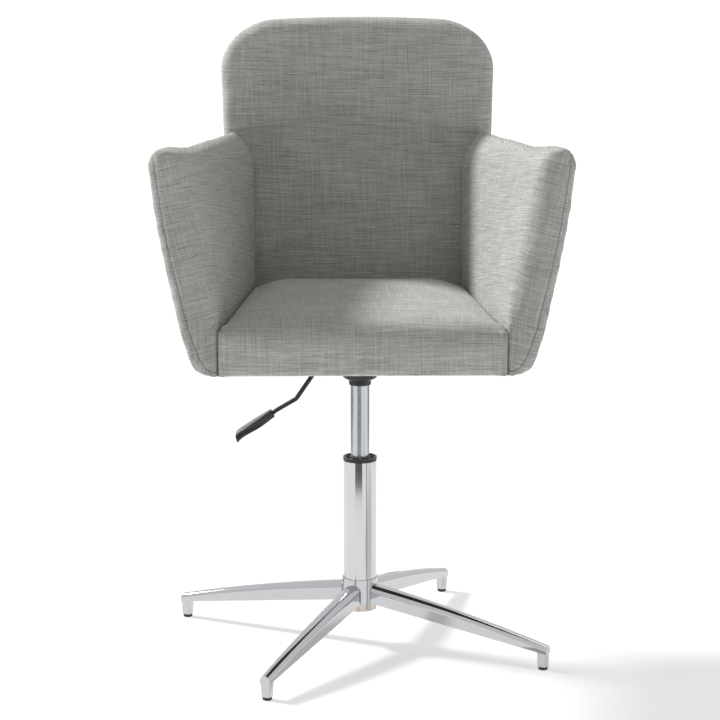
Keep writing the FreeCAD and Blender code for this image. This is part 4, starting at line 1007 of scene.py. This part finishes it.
class ARMCHAIR_OT_paddle(bpy.types.Operator):
    """Models the lever's moulded paddle, with its hooked tip"""
    bl_idname = "armchair.lever_paddle"
    bl_label = "Lever paddle"

    def execute(self, context):
        # the paddle hangs from the rod's end, just inside the upper corner of the plain handle
        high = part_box("lever_handle")[1]
        root = (high.x - 0.0019, 0.0, high.z - 0.0038)
        length = PADDLE[-1][0]
        bpy.ops.object.select_all(action="DESELECT")
        bpy.ops.mesh.primitive_cube_add(size=1.0, location=(-length / 2, 0, 0), scale=(length, 0.02, 0.01))
        obj = context.active_object
        obj.name = "lever_paddle"
        bpy.ops.object.transform_apply(location=True, rotation=True, scale=True)
        bpy.ops.object.mode_set(mode="EDIT")
        for station in PADDLE[1:-1]:
            bpy.ops.mesh.select_all(action="SELECT")
            bpy.ops.mesh.bisect(plane_co=(-station[0], 0, 0), plane_no=(1, 0, 0))
        for place, upper, lower, half in PADDLE:
            for height, side in ((upper, 1), (lower, -1)):
                choose(obj, lambda v: abs(v.x + place) < 1e-5 and v.z * side > 0)
                bpy.ops.transform.translate(value=(0, 0, height - side * 0.005))
            choose(obj, lambda v: abs(v.x + place) < 1e-5)
            bpy.ops.transform.resize(value=(1, half / 0.01, 1), center_override=(-place, 0, 0))
        # the tip is cut back at its top
        choose(obj, lambda v: v.x < 0.001 - length and v.z > 0)
        bpy.ops.transform.translate(value=(0.0030, 0, 0.0))
        bpy.ops.mesh.select_mode(type="EDGE")
        bpy.ops.mesh.select_all(action="DESELECT")
        shape = bmesh.from_edit_mesh(obj.data)
        for edge in shape.edges:
            first, last = (v.co for v in edge.verts)
            along = abs(first.x - last.x) > 0.004
            at_end = max(first.x, last.x) < 0.004 - length or min(first.x, last.x) > -1e-4
            edge.select = along or at_end
        bmesh.update_edit_mesh(obj.data)
        bpy.ops.mesh.bevel(offset=0.0011, segments=3, profile=0.5)
        bpy.ops.mesh.select_all(action="SELECT")
        bpy.ops.transform.rotate(value=math.radians(33.0), orient_axis="Y", center_override=(0, 0, 0))
        bpy.ops.transform.translate(value=root)
        bpy.ops.object.mode_set(mode="OBJECT")
        bpy.ops.object.shade_smooth_by_angle(angle=math.radians(40))
        obj.data.materials.append(bpy.data.materials["glossy_abs_paddle"])
        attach(obj, "lever")
        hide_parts("lever_handle")
        return {"FINISHED"}


class ARMCHAIR_OT_inner_frame(bpy.types.Operator):
    """Finishes the plywood frame inside the upholstery"""
    bl_idname = "armchair.inner_frame"
    bl_label = "Plywood frame"

    def execute(self, context):
        paint_nodes(birch_ply(), "seat_board", "arm_frame_left", "arm_frame_right", "back_frame")
        return {"FINISHED"}


# ------------------------------------------------------------------ studio

# the main lamp stands far behind the chair on the left, well above it
KEY_HEADING = Vector((-0.905, 0.424, 0.0)).normalized()
KEY_RISE = math.radians(39.0)
FLOOR_GLOW = 0.585
WALL_LIGHT = 0.20
WALL_MIRRORED = 0.85
CAMERA_PLACE = (-0.0698, -3.9994, 1.276)
CAMERA_TURN = (math.radians(90 - 11.84), 0.0, math.radians(-1.0))
GLOW_WHITE = (1, 1, 1, 1)

# near and far distance from the column, start and end bearing in degrees (0 is straight ahead), brightness
FLOOR_BOARDS = (
    (0.95, 2.60, -34.0, 14.0, 0.10),
    (1.20, 2.60, -180.0, -95.0, 0.30),
    (1.20, 2.60, 105.0, 180.0, 0.30),
    (0.20, 1.30, 41.0, 50.0, 0.50),
)


def hang_lamp(name, kind, energy, place, turn, settings):
    """Adds a lamp; settings are the lamp's own size, shape and colour."""
    lamp = bpy.data.lights.new(name, kind)
    lamp.energy = energy
    for key, value in settings.items():
        setattr(lamp, key, value)
    obj = new_object(name, lamp)
    obj.location = place
    obj.rotation_euler = turn
    return obj


class ARMCHAIR_OT_stage(bpy.types.Operator):
    """Makes the pale floor, the soft lights and the camera"""
    bl_idname = "armchair.stage"
    bl_label = "Studio"

    def execute(self, context):
        scene = context.scene
        bpy.ops.object.select_all(action="DESELECT")
        bpy.ops.mesh.primitive_grid_add(x_subdivisions=8, y_subdivisions=8, size=120.0, location=(0, 0, 0))
        floor = context.active_object
        floor.name = "studio_floor"
        material, tree = new_tree("white_studio_floor")
        stops = ((0.3, linear("#BEBEBE")), (0.7, linear("#C1C1C1")))
        tone = ramp(tree, object_noise(tree, (1.4, 1.4, 1.4), 2.0), stops)
        matt = {"Roughness": 0.9, "Specular IOR Level": 0.1, "IOR": 1.5}
        matt.update({"Emission Color": GLOW_WHITE, "Emission Strength": FLOOR_GLOW})
        finish_shader(tree, matt, {"Base Color": tone})
        floor.data.materials.append(material)

        world = bpy.data.worlds.new("studio")
        scene.world = world
        world.use_nodes = True
        sky = world.node_tree
        sky.nodes.clear()
        # the polished metal mirrors white walls that add little light of their own
        mirrored = add(sky, "ShaderNodeLightPath").outputs["Is Glossy Ray"]
        limits = {"To Min": WALL_LIGHT, "To Max": WALL_MIRRORED}
        strength = add(sky, "ShaderNodeMapRange", limits, {"Value": mirrored}).outputs[0]
        walls = add(sky, "ShaderNodeBackground", {"Color": (1.0, 1.0, 1.01, 1.0)}, {"Strength": strength})
        add(sky, "ShaderNodeOutputWorld", None, {"Surface": walls.outputs[0]})

        aim = KEY_HEADING * math.cos(KEY_RISE) + Vector((0, 0, math.sin(KEY_RISE)))
        turn = (-aim).to_track_quat("-Z", "Y").to_euler()
        warm = {"angle": math.radians(10.0), "color": (1.0, 0.995, 0.985)}
        hang_lamp("key_lamp", "SUN", 3.6, aim * 4.0, turn, warm)
        # broad soft box overhead
        hang_lamp("top_softbox", "AREA", 21.0, (0.0, 0.3, 3.2), (0, 0, 0), {"shape": "DISK", "size": 3.0})
        # weak fill: a white wall on the right, a little in front
        turn = (math.radians(92.0), 0.0, math.radians(67.0))
        wall = {"shape": "SQUARE", "size": 1.2}
        fill = hang_lamp("right_fill", "AREA", 9.0, (2.8, -1.2, 0.40), turn, wall)
        fill.visible_glossy = False

        # grey boards on the floor, seen only in the polished metal
        for place, (near, far, start, end, grey) in enumerate(FLOOR_BOARDS):
            bpy.ops.mesh.primitive_grid_add(x_subdivisions=16, y_subdivisions=1, size=1.0, location=(0, 0, 0))
            board = context.active_object
            board.name = f"floor_board_{place + 1}"
            points = read_points(board.data)
            reach = near + (far - near) * (points[:, 1] + 0.5)
            turn = np.radians(start + (end - start) * (points[:, 0] + 0.5))
            height = np.full(len(points), 0.002)
            write_points(board.data, np.stack([reach * np.sin(turn), -reach * np.cos(turn), height], 1))
            paint, tree = new_tree(f"grey_board_{place + 1}")
            matt = {"Base Color": (0.02, 0.02, 0.02, 1), "Roughness": 1.0, "Specular IOR Level": 0.0}
            matt.update({"Emission Color": GLOW_WHITE, "Emission Strength": grey})
            finish_shader(tree, matt, {})
            board.data.materials.append(paint)
            for kind in ("camera", "diffuse", "transmission", "shadow"):
                setattr(board, f"visible_{kind}", False)

        lens = bpy.data.cameras.new("camera")
        lens.lens = 137.45
        lens.sensor_width = 36.0
        lens.clip_start = 0.1
        lens.clip_end = 200.0
        camera = new_object("camera", lens)
        camera.location = CAMERA_PLACE
        camera.rotation_euler = CAMERA_TURN
        scene.camera = camera
        scene.view_settings.view_transform = "Standard"
        return {"FINISHED"}


class ARMCHAIR_PT_panel(bpy.types.Panel):
    """Lists the steps that dress the armchair"""
    bl_idname = "ARMCHAIR_PT_panel"
    bl_label = "Armchair"
    bl_space_type = "VIEW_3D"
    bl_region_type = "UI"
    bl_category = "Armchair"

    def draw(self, context):
        layout = self.layout
        for group in (context.scene.armchair_sizes, context.scene.armchair_colours):
            for name in group.__annotations__:
                layout.prop(group, name)
        for operator in OPERATORS:
            layout.operator(operator.bl_idname)


OPERATORS = (
    ARMCHAIR_OT_stage,
    ARMCHAIR_OT_base,
    ARMCHAIR_OT_column,
    ARMCHAIR_OT_mechanism,
    ARMCHAIR_OT_paddle,
    ARMCHAIR_OT_inner_frame,
    ARMCHAIR_OT_seat,
    ARMCHAIR_OT_back,
    ARMCHAIR_OT_arms,
    ARMCHAIR_OT_dust_cloth,
)
CLASSES = (ArmchairSizes, ArmchairColours) + OPERATORS + (ARMCHAIR_PT_panel,)


def register():
    for item in CLASSES:
        bpy.utils.register_class(item)
    bpy.types.Scene.armchair_sizes = bpy.props.PointerProperty(type=ArmchairSizes)
    bpy.types.Scene.armchair_colours = bpy.props.PointerProperty(type=ArmchairColours)


def unregister():
    del bpy.types.Scene.armchair_colours
    del bpy.types.Scene.armchair_sizes
    for item in reversed(CLASSES):
        bpy.utils.unregister_class(item)


def main():
    register()
    for operator in OPERATORS:
        name = operator.bl_idname.split(".")[1]
        getattr(bpy.ops.armchair, name)()


if __name__ == "__main__":
    main()
